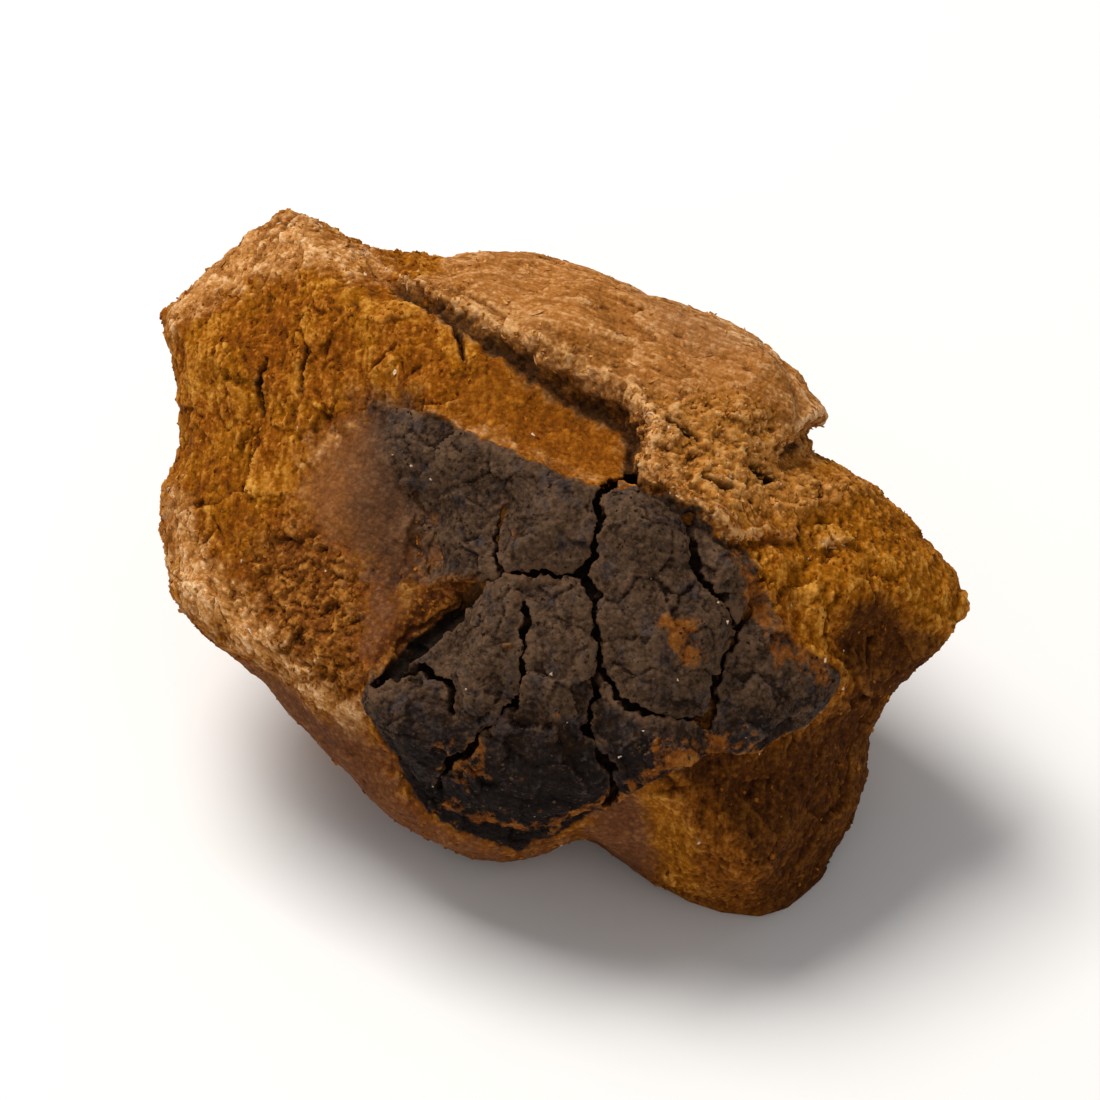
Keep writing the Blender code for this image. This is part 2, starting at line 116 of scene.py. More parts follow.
# Short fissures and pits of the flesh, with their half width.
FISSURES = (
    ((-16.4, 13.7, 0.03), (-17.0, 12.2, 0.09), (-16.5, 10.6, 0.03)),
    ((-19.2, 13.2, 0.02), (-19.7, 11.2, 0.07), (-19.1, 9.2, 0.02)),
    ((-6.6, 15.0, 0.06), (-6.0, 13.9, 0.18), (-5.9, 12.8, 0.06)),
    ((12.6, 5.8, 0.15), (13.5, 5.3, 0.30), (14.2, 5.0, 0.12)),
    ((6.6, 8.0, 0.06), (7.6, 7.3, 0.16), (8.4, 7.0, 0.05)),
    ((9.0, 5.0, 0.06), (10.0, 4.5, 0.15), (10.9, 4.3, 0.05)),
)
CRACK_STEEPNESS = 1.9  # the solid's cracks are this deep per half width
FILLED_SHARE = 0.7  # how much of a narrow crack's wide V is filled up again, to leave a gap in it
WIDE_LESS = 0.3  # how much less a wide crack is filled up
GAP_SHARE, WIDE_GAP = 0.42, 0.75  # the gap's share of the V's half width, in narrow and in wide cracks
WIDE_FROM, WIDE_TO = 0.75, 1.15  # half widths between which a crack goes from narrow to wide
GAP_DEPTH = 1.25
POCKET_SHALLOWER = 0.6  # how much less deep the gap is in the pocket
# The speckled brow of a lip and the gap under it, darkened with painted shade: where each one's middle lies
# and its half width.
BROW, BROW_HALF_WIDTH = 0.25, 0.85
UNDER_LIP, GAP_HALF_WIDTH = -0.50, 0.27
FULL_GAP_RISE = 1.2  # where a lip rises less than this, its brow and gap die away
# The crest on a full lip and the undercut below it: how high or deep, where its middle lies and its width.
CREST, UNDERCUT = (0.34, 0.25, 0.40), (0.60, -0.32, 0.34)
# The rims with a painted highlight along them, with the half width of the band. Below nought only patches are
# pale.
PAINTED_HIGHLIGHT_EDGES = (
    ((-15.8, 6.0, -0.3), (-14.6, 7.4, -0.1), (-13.4, 8.6, -0.3)),
    ((-25.6, 4.0, 0.4), (-24.2, 0.0, 1.1), (-22.2, -2.6, 1.6), (-20.0, -5.0, 1.2), (-17.6, -7.2, 0.8),
     (-14.8, -9.4, 0.6), (-12.8, -10.2, 0.3)),
    ((-26.2, 15.0, 0.6), (-24.4, 16.8, 0.9), (-22.0, 18.9, 1.3), (-17.6, 21.3, 1.4), (-14.8, 20.6, 0.9),
     (-11.8, 19.5, 0.5)),
    ((-11.0, 9.9, -0.6), (-5.8, 8.4, -0.3), (-1.3, 6.3, -0.2), (2.5, 4.8, -0.4)),
    ((9.8, 15.0, 0.2), (13.4, 13.0, 0.35), (15.6, 11.2, 0.5), (16.6, 9.4, 0.9), (15.6, 8.0, 0.4)),
)

# The ledge's tip stands out in a point: (across, up), its size and how far it stands out.
TIP, TIP_SIZE, TIP_RISE = (17.2, 9.2), 0.85, 0.9

# Zones of the drawn face, each one closed edge or several.
ZONES = {
    "crust": ((
        (-12.3, 10.2), (-8.8, 9.4), (-5.8, 7.9), (-1.3, 5.8), (2.5, 4.2), (5.2, 4.6), (8.6, 2.8),
        (11.0, 0.8), (12.6, 0.2), (13.4, -2.2), (15.0, -5.2), (18.0, -7.4), (16.6, -9.6), (13.2, -12.4),
        (9.8, -12.6), (6.4, -13.4), (3.4, -16.2), (0.4, -18.0), (-2.6, -19.2), (-5.4, -17.8), (-8.4, -16.2),
        (-11.4, -12.4), (-12.6, -9.2), (-11.8, -7.2), (-9.2, -4.7), (-7.2, -3.0), (-5.4, -1.6), (-9.0, -2.2),
        (-9.3, 2.0), (-10.4, 6.0),
    ),),
    "ledge": ((
        (-8.5, 17.5), (-3.5, 13.8), (0.3, 12.3), (4.4, 9.9), (6.6, 9.0), (10.0, 9.4), (14.5, 7.9),
        (17.6, 8.6), (19.0, 12.0), (13.0, 17.0), (4.0, 20.5), (-2.0, 22.5), (-7.0, 21.0),
    ),),
    "coarse": ((
        (5.1, 9.4), (10.0, 9.7), (14.9, 7.8), (17.2, 8.6), (16.4, 5.6), (20.2, 4.4), (15.3, 2.6),
        (10.8, 2.6), (8.5, 3.3), (5.1, 5.6), (5.1, 7.8),
    ),),
    "amber": ((
        (-3.5, 13.5), (0.2, 11.8), (4.0, 9.7), (5.3, 7.8), (5.1, 5.6), (4.0, 4.4), (2.1, 4.4),
        (-1.3, 5.6), (-4.3, 7.1), (-6.5, 8.6), (-6.0, 11.0),
    ),),
    "rind": ((
        (-15.5, 7.1), (-12.9, 9.7), (-10.3, 10.1), (-9.5, 4.1), (-10.3, 0.3), (-12.0, -1.2),
        (-14.0, 0.3), (-15.9, 3.3),
    ),),
    "mauve": (
        ((-12.7, -0.8), (-10.5, -2.0), (-9.9, -4.2), (-10.8, -6.8), (-12.3, -7.6), (-12.9, -4.0)),
        ((2.2, -15.4), (5.0, -14.6), (6.8, -16.0), (7.4, -19.0), (5.6, -22.0), (1.6, -19.5)),
        (
            (-25.0, -3.4), (-21.6, -6.4), (-18.4, -8.0), (-15.0, -9.8), (-12.8, -10.2), (-11.6, -12.4),
            (-8.4, -16.4), (-2.6, -19.4), (2.0, -18.6), (-6.0, -24.0), (-24.0, -18.0), (-34.0, -2.0),
        ),
    ),
    "pocket": ((
        (-10.4, -4.2), (-9.5, -2.5), (-7.8, -1.4), (-5.2, -1.3), (-7.1, -3.2), (-9.1, -5.0), (-11.7, -7.6),
        (-11.5, -6.4),
    ),),
    # The lower right side: its own darker brown, with painted shade as it faces away from the light.
    "side": ((
        (3.3, -16.3), (6.4, -13.8), (9.8, -13.1), (13.2, -13.0), (16.8, -10.4), (19.0, -7.0),
        (21.0, -9.0), (30.0, -12.0), (22.0, -30.0), (0.0, -30.0), (-3.0, -18.6),
    ),),
    # Painted shadow at the lower right.
    "shadow": ((
        (13.4, -12.8), (17.0, -10.6), (20.6, -8.0), (26.0, -12.0), (20.0, -26.0), (13.6, -24.0),
        (12.8, -17.0),
    ),),
    "lobe": ((
        (14.8, 2.2), (20.2, 4.4), (23.4, 2.2), (26.4, -0.6), (27.0, -3.4), (24.6, -5.0), (22.4, -3.5),
        (20.4, -2.3), (18.8, -3.2), (16.4, -3.8), (14.4, -1.6),
    ),),
    "streak": (
        ((4.8, -14.2), (7.2, -15.4), (9.0, -18.2), (9.0, -22.0), (6.8, -21.4), (6.2, -17.6)),
    ),
    # Painted shade under the crust's lower edge, over dark red-brown flesh.
    "painted_shade_under_crust": ((
        (3.6, -15.4), (5.2, -13.6), (9.6, -12.8), (13.2, -12.6), (14.8, -15.0), (14.0, -19.2), (12.2, -19.0),
        (10.8, -16.2), (8.0, -14.6), (5.4, -15.0),
    ),),
    # Painted shade in the dip under the lobe.
    "recess": (
        ((19.0, -3.4), (20.6, -2.6), (22.4, -3.7), (25.2, -5.4), (26.0, -7.6), (21.8, -9.4), (19.2, -7.6)),
    ),
    "rust": ((
        (-19.6, 1.4), (-16.4, 2.6), (-13.2, 0.2), (-12.6, -3.4), (-12.6, -8.4), (-14.4, -10.0),
        (-17.6, -7.0), (-19.4, -3.2),
    ),),
    "char": ((
        (-13.6, 10.6), (-9.6, 10.4), (-7.8, 7.0), (-8.2, 1.0), (-9.6, -2.4), (-11.6, -2.2), (-12.6, 0.4),
        (-12.3, 4.0), (-12.8, 7.4),
    ),),
    "blush": (
        ((5.8, 15.4), (9.4, 15.2), (12.2, 13.2), (11.4, 11.8), (8.6, 12.2), (6.4, 13.4)),
        ((-20.6, 21.0), (-17.4, 22.6), (-16.0, 20.8), (-18.6, 19.8)),
    ),
    "smear": (
        ((10.8, 0.6), (14.4, 0.2), (16.8, -4.0), (18.6, -7.4), (15.9, -7.8), (12.9, -5.8), (11.6, -2.0)),
        ((-6.8, -11.2), (-4.2, -11.0), (-3.2, -12.8), (-5.0, -14.0), (-6.8, -13.0)),
        ((6.2, -3.6), (8.2, -3.2), (8.6, -6.4), (6.8, -6.8)),
    ),
    "ember": ((
        (6.5, -10.6), (11.0, -10.8), (13.0, -12.6), (9.8, -13.4), (6.4, -14.2), (3.0, -16.6),
        (-2.0, -18.2), (-7.6, -16.2), (-6.4, -15.0), (-1.0, -16.4), (4.0, -13.6),
    ),),
}
# The finishes: what each one is on, and its deep, body and light colour in scene-linear values.
FINISHES = {
    "flesh": ("broken flesh", (0.050, 0.012, 0.0008), (0.230, 0.060, 0.0010), (0.560, 0.215, 0.025)),
    "gold": ("golden patches", (0.070, 0.020, 0.0010), (0.315, 0.100, 0.0016), (0.660, 0.310, 0.050)),
    "coarse": ("grainy shoulder", (0.060, 0.016, 0.001), (0.460, 0.175, 0.026), (0.700, 0.380, 0.130)),
    "ledge": ("fibrous ledge", (0.130, 0.040, 0.005), (0.400, 0.150, 0.030), (0.720, 0.410, 0.180)),
    "brow": ("speckled brow of the lip", (0.040, 0.012, 0.002), (0.320, 0.125, 0.028), (0.780, 0.440, 0.180)),
    "blush": (
        "pinker patch of the ledge", (0.150, 0.052, 0.014), (0.350, 0.150, 0.050), (0.600, 0.330, 0.160),
    ),
    # Painted highlight on the rims.
    "rim": ("painted highlights on the rims", (0.180, 0.055, 0.006), (0.540, 0.235, 0.060), (0.920, 0.640, 0.360)),
    "amber": ("amber hollow", (0.050, 0.012, 0.0006), (0.230, 0.064, 0.0020), (0.430, 0.160, 0.012)),
    "rust": ("rusty part", (0.020, 0.005, 0.001), (0.190, 0.056, 0.008), (0.480, 0.210, 0.040)),
    "rind": ("smooth rind", (0.060, 0.018, 0.005), (0.210, 0.074, 0.018), (0.360, 0.165, 0.060)),
    "char": ("charred edge", (0.018, 0.008, 0.004), (0.075, 0.033, 0.016), (0.200, 0.090, 0.038)),
    "mauve": ("weathered faces", (0.040, 0.012, 0.005), (0.130, 0.046, 0.018), (0.300, 0.130, 0.052)),
    # The lower right side's own darker brown, with painted shade.
    "dark": ("shaded sides", (0.030, 0.008, 0.001), (0.180, 0.052, 0.004), (0.380, 0.145, 0.020)),
    # Painted shadow and shade: at the lower right, under the crust and under the lobe.
    "shadow": ("painted shadow at the darkest places", (0.012, 0.003, 0.001), (0.060, 0.017, 0.002), (0.170, 0.056, 0.006)),
    "crust": ("black crust", (0.0030, 0.0015, 0.0010), (0.0130, 0.0080, 0.0066), (0.074, 0.049, 0.040)),
    "umber": (
        "browner patches of the crust", (0.008, 0.003, 0.001), (0.026, 0.0125, 0.0062), (0.120, 0.066, 0.035),
    ),
    "ember": ("orange stain", (0.050, 0.013, 0.002), (0.220, 0.062, 0.005), (0.400, 0.150, 0.022)),
    # Painted shade: the near-black gaps of the cracks and fissures.
    "crack": ("cracks", (0.003, 0.002, 0.001), (0.012, 0.006, 0.003), (0.050, 0.016, 0.005)),
    "pocket": (
        "pocket of the widest crack", (0.010, 0.003, 0.001), (0.085, 0.023, 0.003), (0.420, 0.150, 0.020),
    ),
    # The crack walls' colours also paint the shade in the gap under each lip.
    "wall": ("crack walls", (0.007, 0.003, 0.001), (0.032, 0.013, 0.005), (0.120, 0.045, 0.012)),
}
SHADES = {
    "deep": "The hollows of the {}",
    "body": "The main colour of the {}",
    "light": "The raised and rubbed parts of the {}",
}
# The finishes laid over the flesh in order: zone, pattern, finish, raggedness, softness and share.
LAYERS = (
    ("coarse", "plain", "coarse", 4.0, 1.2, 1.0),
    ("ledge", "along", "ledge", 3.6, 1.0, 1.0),
    ("blush", "along", "blush", 4.0, 1.8, 0.85),
    ("amber", "upright", "amber", 3.0, 1.3, 1.0),
    ("rust", "plain", "rust", 4.0, 1.8, 0.8),
    ("lobe", "upright", "gold", 3.6, 1.2, 0.8),
    # Partly painted shade: the lower right side.
    ("side", "upright", "dark", 4.0, 1.8, 0.85),
    # Painted shadow at the lower right.
    ("shadow", "upright", "shadow", 3.6, 1.3, 0.9),
    # Painted shade under the crust's lower edge.
    ("painted_shade_under_crust", "upright", "shadow", 2.6, 0.6, 0.9),
    # Painted shade in the dip under the lobe.
    ("recess", "upright", "shadow", 2.0, 0.7, 0.95),
    ("rind", "plain", "rind", 4.4, 1.6, 0.92),
    ("mauve", "plain", "mauve", 4.4, 1.4, 0.88),
    ("char", "plain", "char", 3.6, 1.8, 0.85),
    ("streak", "upright", "gold", 2.6, 0.6, 0.8),
    ("brow", "plain", "brow", 3.2, 0.7, 0.85),
    # Painted highlight along the rims.
    ("rim", "along", "rim", 4.4, 1.1, 0.95),
    # Painted shade in the gap under each lip.
    ("lip_gap_painted_shade", "plain", "wall", 2.0, 0.30, 0.8),
)
# Painted light and shade in the crust's tone up the face: from one height to another, and what is added to it
# at each.
CRUST_PAINTED_LIGHT = (-4.0, 6.0, -0.22, 0.24)
# Painted light again at the bottom of the crust: from one height to another, and what is added to it at each.
CRUST_LOW_PAINTED_LIGHT = (-13.5, -9.0, 0.30, 0.0)
# The orange dust on the crust: how rare it is, how much less so on the stains, and how sharply it ends.
DUST_RARITY, DUST_ON_STAINS, DUST_SHARPNESS = -0.650, 0.23, 9.0
DEEPEST = 4.0  # how far in and out of a zone its depth is kept
SEEN_FROM, SEEN_TO = -0.66, -0.30  # the zones fade in as the surface turns from the back to the side
SEEN_WANDER = 0.26
FADE_DEPTH = 16.0  # more than the depth of the widest zone
FRONT_FROM, FRONT_TO = 0.10, 0.35  # the lips' brows and gaps fade in as it turns from the side to the front
# What the mesh keeps for the material and for scattering the loose grains.
KEPT = tuple(ZONES) + ("crack", "lip", "brow", "lip_gap_painted_shade", "rim", "rise", "bend")

# The mesh of the chunk's pieces.
MERGE_DISTANCE = 1e-6
NOISE_SEED = 5  # the vector noise would differ from run to run without it
TRIANGLE_LIMIT = 186000
SOFTENING_ROUNDS = 6
SKIRT_DEPTH = 0.5  # how far each piece reaches in under the next one
CUT_BEHIND = 1.5  # front and back meet this far behind the widest outline
FINE_GRAIN_FROM = 0.3  # the crust's finest grain is whole this far in from its edge
BEND_ROUNDS = 12
BEND_REACH = 0.11
RISE_REACH = 0.26
REACH_LIMIT = 1.5
FLAT_FOOT = 0.9  # the relief dies away this near the flat underside

LEAST_WEIGHT = 0.01
GRAIN_SIZE = 0.30  # the finest grains, which the material draws and the mesh doesn't have, in millimetres
GRAIN_LAYERS = ("tint", "pale", "shade")
GRAIN_RAGGEDNESS = 0.33
GRAIN_FLATNESS = (0.5, 0.9)  # a grain's height as a share of its width
GRAIN_WANDER = 0.6  # how far grains turn from the long way, in radians
FLECK_SHARE = 0.015  # the share of loose grains that are pale flecks
FLECK_COLOUR = (0.62, 0.45, 0.31)
BATCH = 300  # grains made at a time
# Loose grains: (shortest, longest, most usual) length in millimetres, and the width as a share of it.
CRUMB_SIZES = ((0.12, 0.52, 0.20), (0.40, 0.80))
GRIT_SIZES = ((0.08, 0.36, 0.14), (0.5, 0.95))
FIBRE_SIZES = ((0.25, 1.15, 0.45), (0.09, 0.24))
HIGHEST_LIP = 2.3
CHANCE_MIX = ((12.99, 39.35, 73.16), (78.23, 11.14, 52.24), (37.72, 83.15, 9.15))
CHANCE_SPREAD = 43758.55
GRAIN_TURN = math.radians(-22)  # how the fibres of the pale ledge run

# The stage, in metres: each light's place, size and colour, and what the camera looks at on the drawn face.
KEY_LIGHT = (-0.28, 0.22, 0.72), 0.42, (1.0, 0.975, 0.94)
FILL_LIGHT = (0.15, -0.70, 0.40), 0.80, (1.0, 0.98, 0.96)
SURROUND_COLOUR = (0.97, 0.98, 1.0, 1)
FLOOR_SIZE = 2.0
FLOOR_SPECULAR, FLOOR_ROUGHNESS = 0.2, 0.75
CAMERA_DISTANCE = 0.425
NEAREST_SEEN = 0.01
CAMERA_AIM = (-0.36, 0.4, 0)  # in millimetres


def smooth_step(low, high, values):
    """0 below low, 1 above high, and a smooth change between."""
    share = np.clip((values - low) / (high - low), 0, 1)
    return share * share * (3 - 2 * share)


def to_face(points):
    """Points in metres, upright, as (across, up, out) in millimetres from the chunk's middle."""
    across, back, high = (points / MM).T
    high = high - MIDDLE_HEIGHT
    up = back * math.sin(FACE_TILT) + high * math.cos(FACE_TILT)
    out = high * math.sin(FACE_TILT) - back * math.cos(FACE_TILT)
    return np.column_stack((across, up, out))


def stand_up(across, up, out):
    """A direction of the drawn face as an upright one."""
    back = up * math.sin(FACE_TILT) - out * math.cos(FACE_TILT)
    high = up * math.cos(FACE_TILT) + out * math.sin(FACE_TILT)
    return Vector((across, back, high))


def outline_distance(angles):
    """How far the outline is from the middle at each angle."""
    marks = sorted((math.atan2(up, across) % math.tau, math.hypot(across, up)) for across, up in OUTLINE)
    before = (marks[-1][0] - math.tau, marks[-1][1])
    after = (marks[0][0] + math.tau, marks[0][1])
    turns, distances = zip(before, *marks, after)
    return np.interp(angles % math.tau, turns, distances)


def eased_radius(directions):
    """The smallest of the distances to the outline and to each break, with the edges between them eased."""
    spread = np.hypot(directions[:, 0], directions[:, 1])
    turns = np.arctan2(directions[:, 1], directions[:, 0])
    total = (spread / outline_distance(turns)) ** CRISPNESS
    for facing, distance in BREAKS:
        toward = directions @ np.array(Vector(facing).normalized())
        total += (np.maximum(toward, 0) / distance) ** CRISPNESS
    return total ** (-1 / CRISPNESS)


def drawn_places(points):
    """Where each point was drawn on the face, before its relief, and how far its direction points out."""
    points = points.copy()
    points[:, 2] -= LEAN_ACROSS * points[:, 0] + LEAN_UP * points[:, 1]
    directions = points / np.linalg.norm(points, axis=1)[:, None]
    spread = np.maximum(np.hypot(directions[:, 0], directions[:, 1]), NEARLY_NOUGHT)
    level = np.column_stack((directions[:, :2] / spread[:, None], np.zeros(len(points))))
    turns = np.arctan2(directions[:, 1], directions[:, 0])
    let_out = outline_distance(turns) / eased_radius(level)
    radius = eased_radius(directions) * (1 + (let_out - 1) * spread**RIM_CLOSENESS)
    return directions[:, :2] * radius[:, None], directions[:, 2]


def nearest_on_line(places, line):
    """For each place: its distance from a line, the line's last value there, and the side it lies on."""
    best = np.full(len(places), np.inf)
    value = np.zeros(len(places))
    side = np.zeros(len(places))
    for first, second in zip(line, line[1:]):
        start = np.array(first[:2])
        run = np.array(second[:2]) - start
        share = np.clip((places - start) @ run / (run @ run), 0, 1)
        away = places - start - share[:, None] * run
        distance = np.hypot(away[:, 0], away[:, 1])
        nearer = distance < best
        best[nearer] = distance[nearer]
        value[nearer] = (first[-1] + (second[-1] - first[-1]) * share)[nearer]
        side[nearer] = (run[0] * away[:, 1] - run[1] * away[:, 0])[nearer]
    return best, value, side


def depth_inside(places, edge):
    """How far inside a closed edge each place lies, and below nought outside it."""
    closed = edge + edge[:1]
    inside = np.zeros(len(places), bool)
    for (ax, ay), (bx, by) in zip(closed, closed[1:]):
        rise = by - ay or NEARLY_NOUGHT
        crosses = (ay > places[:, 1]) != (by > places[:, 1])
        inside ^= crosses & (places[:, 0] < ax + (places[:, 1] - ay) * (bx - ax) / rise)
    distance = nearest_on_line(places, closed)[0]
    return np.where(inside, distance, -distance)


def find_zones(points):
    """How deep each point lies in each zone and crack, in millimetres, below nought outside."""
    places, outward = drawn_places(points)
    behind = outward + SEEN_WANDER * (noise_at(points, 5.0, 55.0) + 0.4 * noise_at(points, 1.3, 56.0))
    unseen = FADE_DEPTH * (1 - smooth_step(SEEN_FROM, SEEN_TO, behind))
    sideways = FADE_DEPTH * (1 - smooth_step(FRONT_FROM, FRONT_TO, outward))
    wander = 0.26 * vectors_at(points, 1.5, 51.0)[:, :2] + 0.13 * vectors_at(points, 0.5, 52.0)[:, :2]
    ragged = places + wander
    zones = {}
    for name, edges in ZONES.items():
        zones[name] = np.maximum.reduce([depth_inside(ragged, edge) for edge in edges]) - unseen
    for name in ("crack", "groove", "rim"):
        zones[name] = np.full(len(points), -np.inf)
    for line in CRACKS:
        distance, half_width, _ = nearest_on_line(places, line)
        wide = smooth_step(WIDE_FROM, WIDE_TO, half_width)
        filled = CRACK_STEEPNESS * (half_width - distance) * FILLED_SHARE * (1 - WIDE_LESS * wide)
        zones["groove"] = np.maximum(zones["groove"], filled - unseen)
        distance, half_width, _ = nearest_on_line(ragged, line)
        gap = half_width * (GAP_SHARE + (WIDE_GAP - GAP_SHARE) * wide)
        zones["crack"] = np.maximum(zones["crack"], gap - distance - unseen)
    for name, lines in (("crack", FISSURES), ("rim", PAINTED_HIGHLIGHT_EDGES)):
        for line in lines:
            distance, half_width, _ = nearest_on_line(ragged, line)
            zones[name] = np.maximum(zones[name], half_width - distance - unseen)
    closest = np.full(len(points), np.inf)
    for line in LIPS:
        distance, rise, side = nearest_on_line(ragged, line)
        nearer = distance < closest
        closest = np.minimum(distance, closest)
        signed = np.where(side > 0, distance, -distance)
        zones["lip"] = np.where(nearer, signed, zones.get("lip", signed))
        zones["lip_rise"] = np.where(nearer, rise, zones.get("lip_rise", rise))
    low = np.maximum(0, FULL_GAP_RISE - zones["lip_rise"])
    off_tip = np.hypot(*(places - TIP).T)
    zones["tip_rise"] = TIP_RISE * np.exp(-((off_tip / TIP_SIZE) ** 2)) * (unseen == 0)
    zones["brow"] = BROW_HALF_WIDTH - np.abs(zones["lip"] - BROW) - low - sideways
    # The band of painted shade in the gap under each lip.
    zones["lip_gap_painted_shade"] = GAP_HALF_WIDTH - np.abs(zones["lip"] - UNDER_LIP) - low - sideways
    zones["lip"] = zones["lip"] - unseen
    return {name: np.clip(depth, -DEEPEST, DEEPEST) for name, depth in zones.items()}


def noise_at(points, size, seed):
    """Smooth noise from about -1 to 1, with lumps of this size: one number, or one for each direction."""
    spots = points / np.asarray(size) + seed
    return np.fromiter(map(noise.noise, spots.tolist()), float, len(spots))


def vectors_at(points, size, seed):
    """Three smooth noises at once, each from about -1 to 1."""
    spots = points / np.asarray(size) + seed
    return np.array([tuple(noise.noise_vector(spot)) for spot in spots.tolist()])


class Cells:
    """Rounded cells: each point's way to its cell's middle and border, and the cell's chance numbers."""

    def __init__(self, points, size, seed):
        spots = points / np.asarray(size) + seed
        found = [noise.voronoi(spot) for spot in spots.tolist()]
        distances = np.array([nearest[:2] for nearest, _ in found])
        middles = np.array([tuple(middle[0]) for _, middle in found])
        self.near = distances[:, 0]
        self.border = distances[:, 1] - distances[:, 0]
        self.chance = np.modf(np.abs(np.sin(middles @ CHANCE_MIX) * CHANCE_SPREAD))[0]
        self.away = (spots - middles) * np.asarray(size)

    def steps(self):
        """A height from -1 to 1 for each cell, flat across it."""
        return 2 * self.chance[:, 0] - 1

    def leans(self):
        """Cells that each lean their own way, as a broken face does, in millimetres for a slope of 1."""
        return np.einsum("ij,ij->i", self.away, 2 * self.chance - 1)

    def domes(self):
        """Rounded grains, high in the middle."""
        return (0.55 - self.near) * (0.5 + self.chance[:, 1])

    def gaps(self, width):
        """1 in the joints between cells, and 0 off them."""
        return np.exp(-((self.border / width) ** 2))

    def holes(self, share):
        """1 in the middle of this share of the cells, and 0 elsewhere."""
        return smooth_step(1 - share, 1.05 - share, self.chance[:, 2]) * smooth_step(0.50, 0.15, self.near)


def turned(points, turn):
    """The points turned in the drawn face, so that a pattern runs at an angle."""
    across = points[:, 0] * math.cos(turn) + points[:, 1] * math.sin(turn)
    up = points[:, 1] * math.cos(turn) - points[:, 0] * math.sin(turn)
    return np.column_stack((across, up, points[:, 2]))


def flesh_texture(points):
    """Broken cork: faint facets, upright bundles of fibre, a few fissures and pits, and fine grain."""
    bent = points + 0.50 * vectors_at(points, 1.7, 41.0) + 0.10 * vectors_at(points, 0.4, 42.0)
    wide = points + 0.8 * vectors_at(points, 3.0, 46.0)
    relief = 0.07 * Cells(wide, 5.2, 5.0).leans() + 0.10 * Cells(bent, (1.5, 2.0, 1.6), 6.0).leans()
    bundles = Cells(bent, (0.46, 1.20, 0.60), 17.0)
    grains = Cells(bent, (0.30, 0.38, 0.32), 23.0)
    patchy = smooth_step(0.15, 0.50, noise_at(points, 3.4, 13.0))
    fissures = patchy * Cells(wide, (2.2, 5.0, 2.6), 28.0).gaps(0.045)
    pits = Cells(bent, (0.70, 1.15, 0.85), 31.0).holes(0.10)
    relief += 0.05 * bundles.steps() - 0.05 * bundles.gaps(0.13) + 0.12 * grains.domes()
    lumps = 0.13 * noise_at(points, (0.9, 1.5, 1.0), 37.0)
    relief += lumps + 0.09 * noise_at(points, (0.42, 0.62, 0.46), 40.0)
    return relief - 0.36 * fissures - 0.26 * pits + 0.06 * noise_at(points, 0.23, 49.0)


def coarse_texture(points):
    """Rough chips and grains, with deep pits between them."""
    bent = points + 0.45 * vectors_at(points, 1.5, 43.0)
    breaks = 0.17 * Cells(bent, (2.2, 1.6, 1.8), 7.0).leans()
    chips = Cells(bent + 0.12 * vectors_at(points, 0.35, 53.0), (0.95, 0.60, 0.70), 24.0)
    grains = Cells(bent, (0.36, 0.29, 0.31), 25.0)
    pits = Cells(bent, (1.20, 0.75, 0.9), 32.0).holes(0.20)
    relief = breaks + 0.06 * chips.steps() + 0.30 * chips.leans() - 0.07 * chips.gaps(0.12)
    relief += 0.07 * grains.domes()
    relief += 0.12 * noise_at(points, (0.8, 0.5, 0.6), 54.0)
    return relief - 0.45 * pits + 0.07 * noise_at(points, 0.25, 38.0)


def ledge_texture(points):
    """Torn layers of fine fibres that run along the pale ledge."""
    along = turned(points, GRAIN_TURN)
    along = along + 0.30 * vectors_at(along, 2.6, 44.0)
    layers = Cells(along, (5.5, 1.7, 2.0), 8.0)
    strands = Cells(along, (3.4, 0.42, 0.50), 18.0)
    threads = 0.06 * noise_at(along, (2.2, 0.22, 0.26), 19.0)
    grains = 0.05 * Cells(along, (0.42, 0.28, 0.32), 27.0).domes()
    pits = Cells(along, (1.6, 0.6, 0.8), 33.0).holes(0.12)
    relief = 0.09 * layers.steps() + 0.07 * layers.leans() + 0.030 * strands.steps() + grains
    return relief - 0.035 * strands.gaps(0.16) + threads - 0.22 * pits


def amber_texture(points):
    """Soft upright streaks in the hollow under the lip."""
    bent = turned(points, 0.15) + 0.35 * vectors_at(points, 1.8, 47.0)
    strands = Cells(bent, (0.42, 1.9, 0.6), 20.0)
    breaks = 0.10 * Cells(bent, (1.9, 2.6, 2.0), 9.0).leans()
    grains = 0.05 * Cells(bent, (0.32, 0.40, 0.32), 29.0).domes()
    relief = breaks + grains + 0.04 * strands.steps() - 0.05 * strands.gaps(0.15)
    return relief + 0.04 * noise_at(points, 0.28, 39.0)


def rind_texture(points):
    """A smooth, faintly wavy skin with small scratches and grains."""
    grains = 0.04 * Cells(points, (0.42, 0.34, 0.40), 30.0).domes()
    return grains + 0.15 * noise_at(points, 1.9, 9.0) + 0.05 * noise_at(points, 0.6, 10.0)


def crust_texture(points):
    """Charcoal-like: low plates and lumps, jointed here and there, finely grained."""
    bent = points + 0.50 * vectors_at(points, 1.4, 45.0)
    plates = Cells(bent, (2.6, 2.4, 2.4), 34.0)
    lumps = Cells(bent, 0.85, 35.0)
    joints = smooth_step(0.0, 0.35, noise_at(points, 3.2, 16.0)) * plates.gaps(0.06)
    relief = 0.11 * plates.leans() + 0.15 * noise_at(points, 1.9, 12.0) + 0.06 * lumps.domes()
    return relief - 0.16 * joints + 0.08 * noise_at(points, 0.45, 14.0) + 0.05 * noise_at(points, 0.25, 15.0)


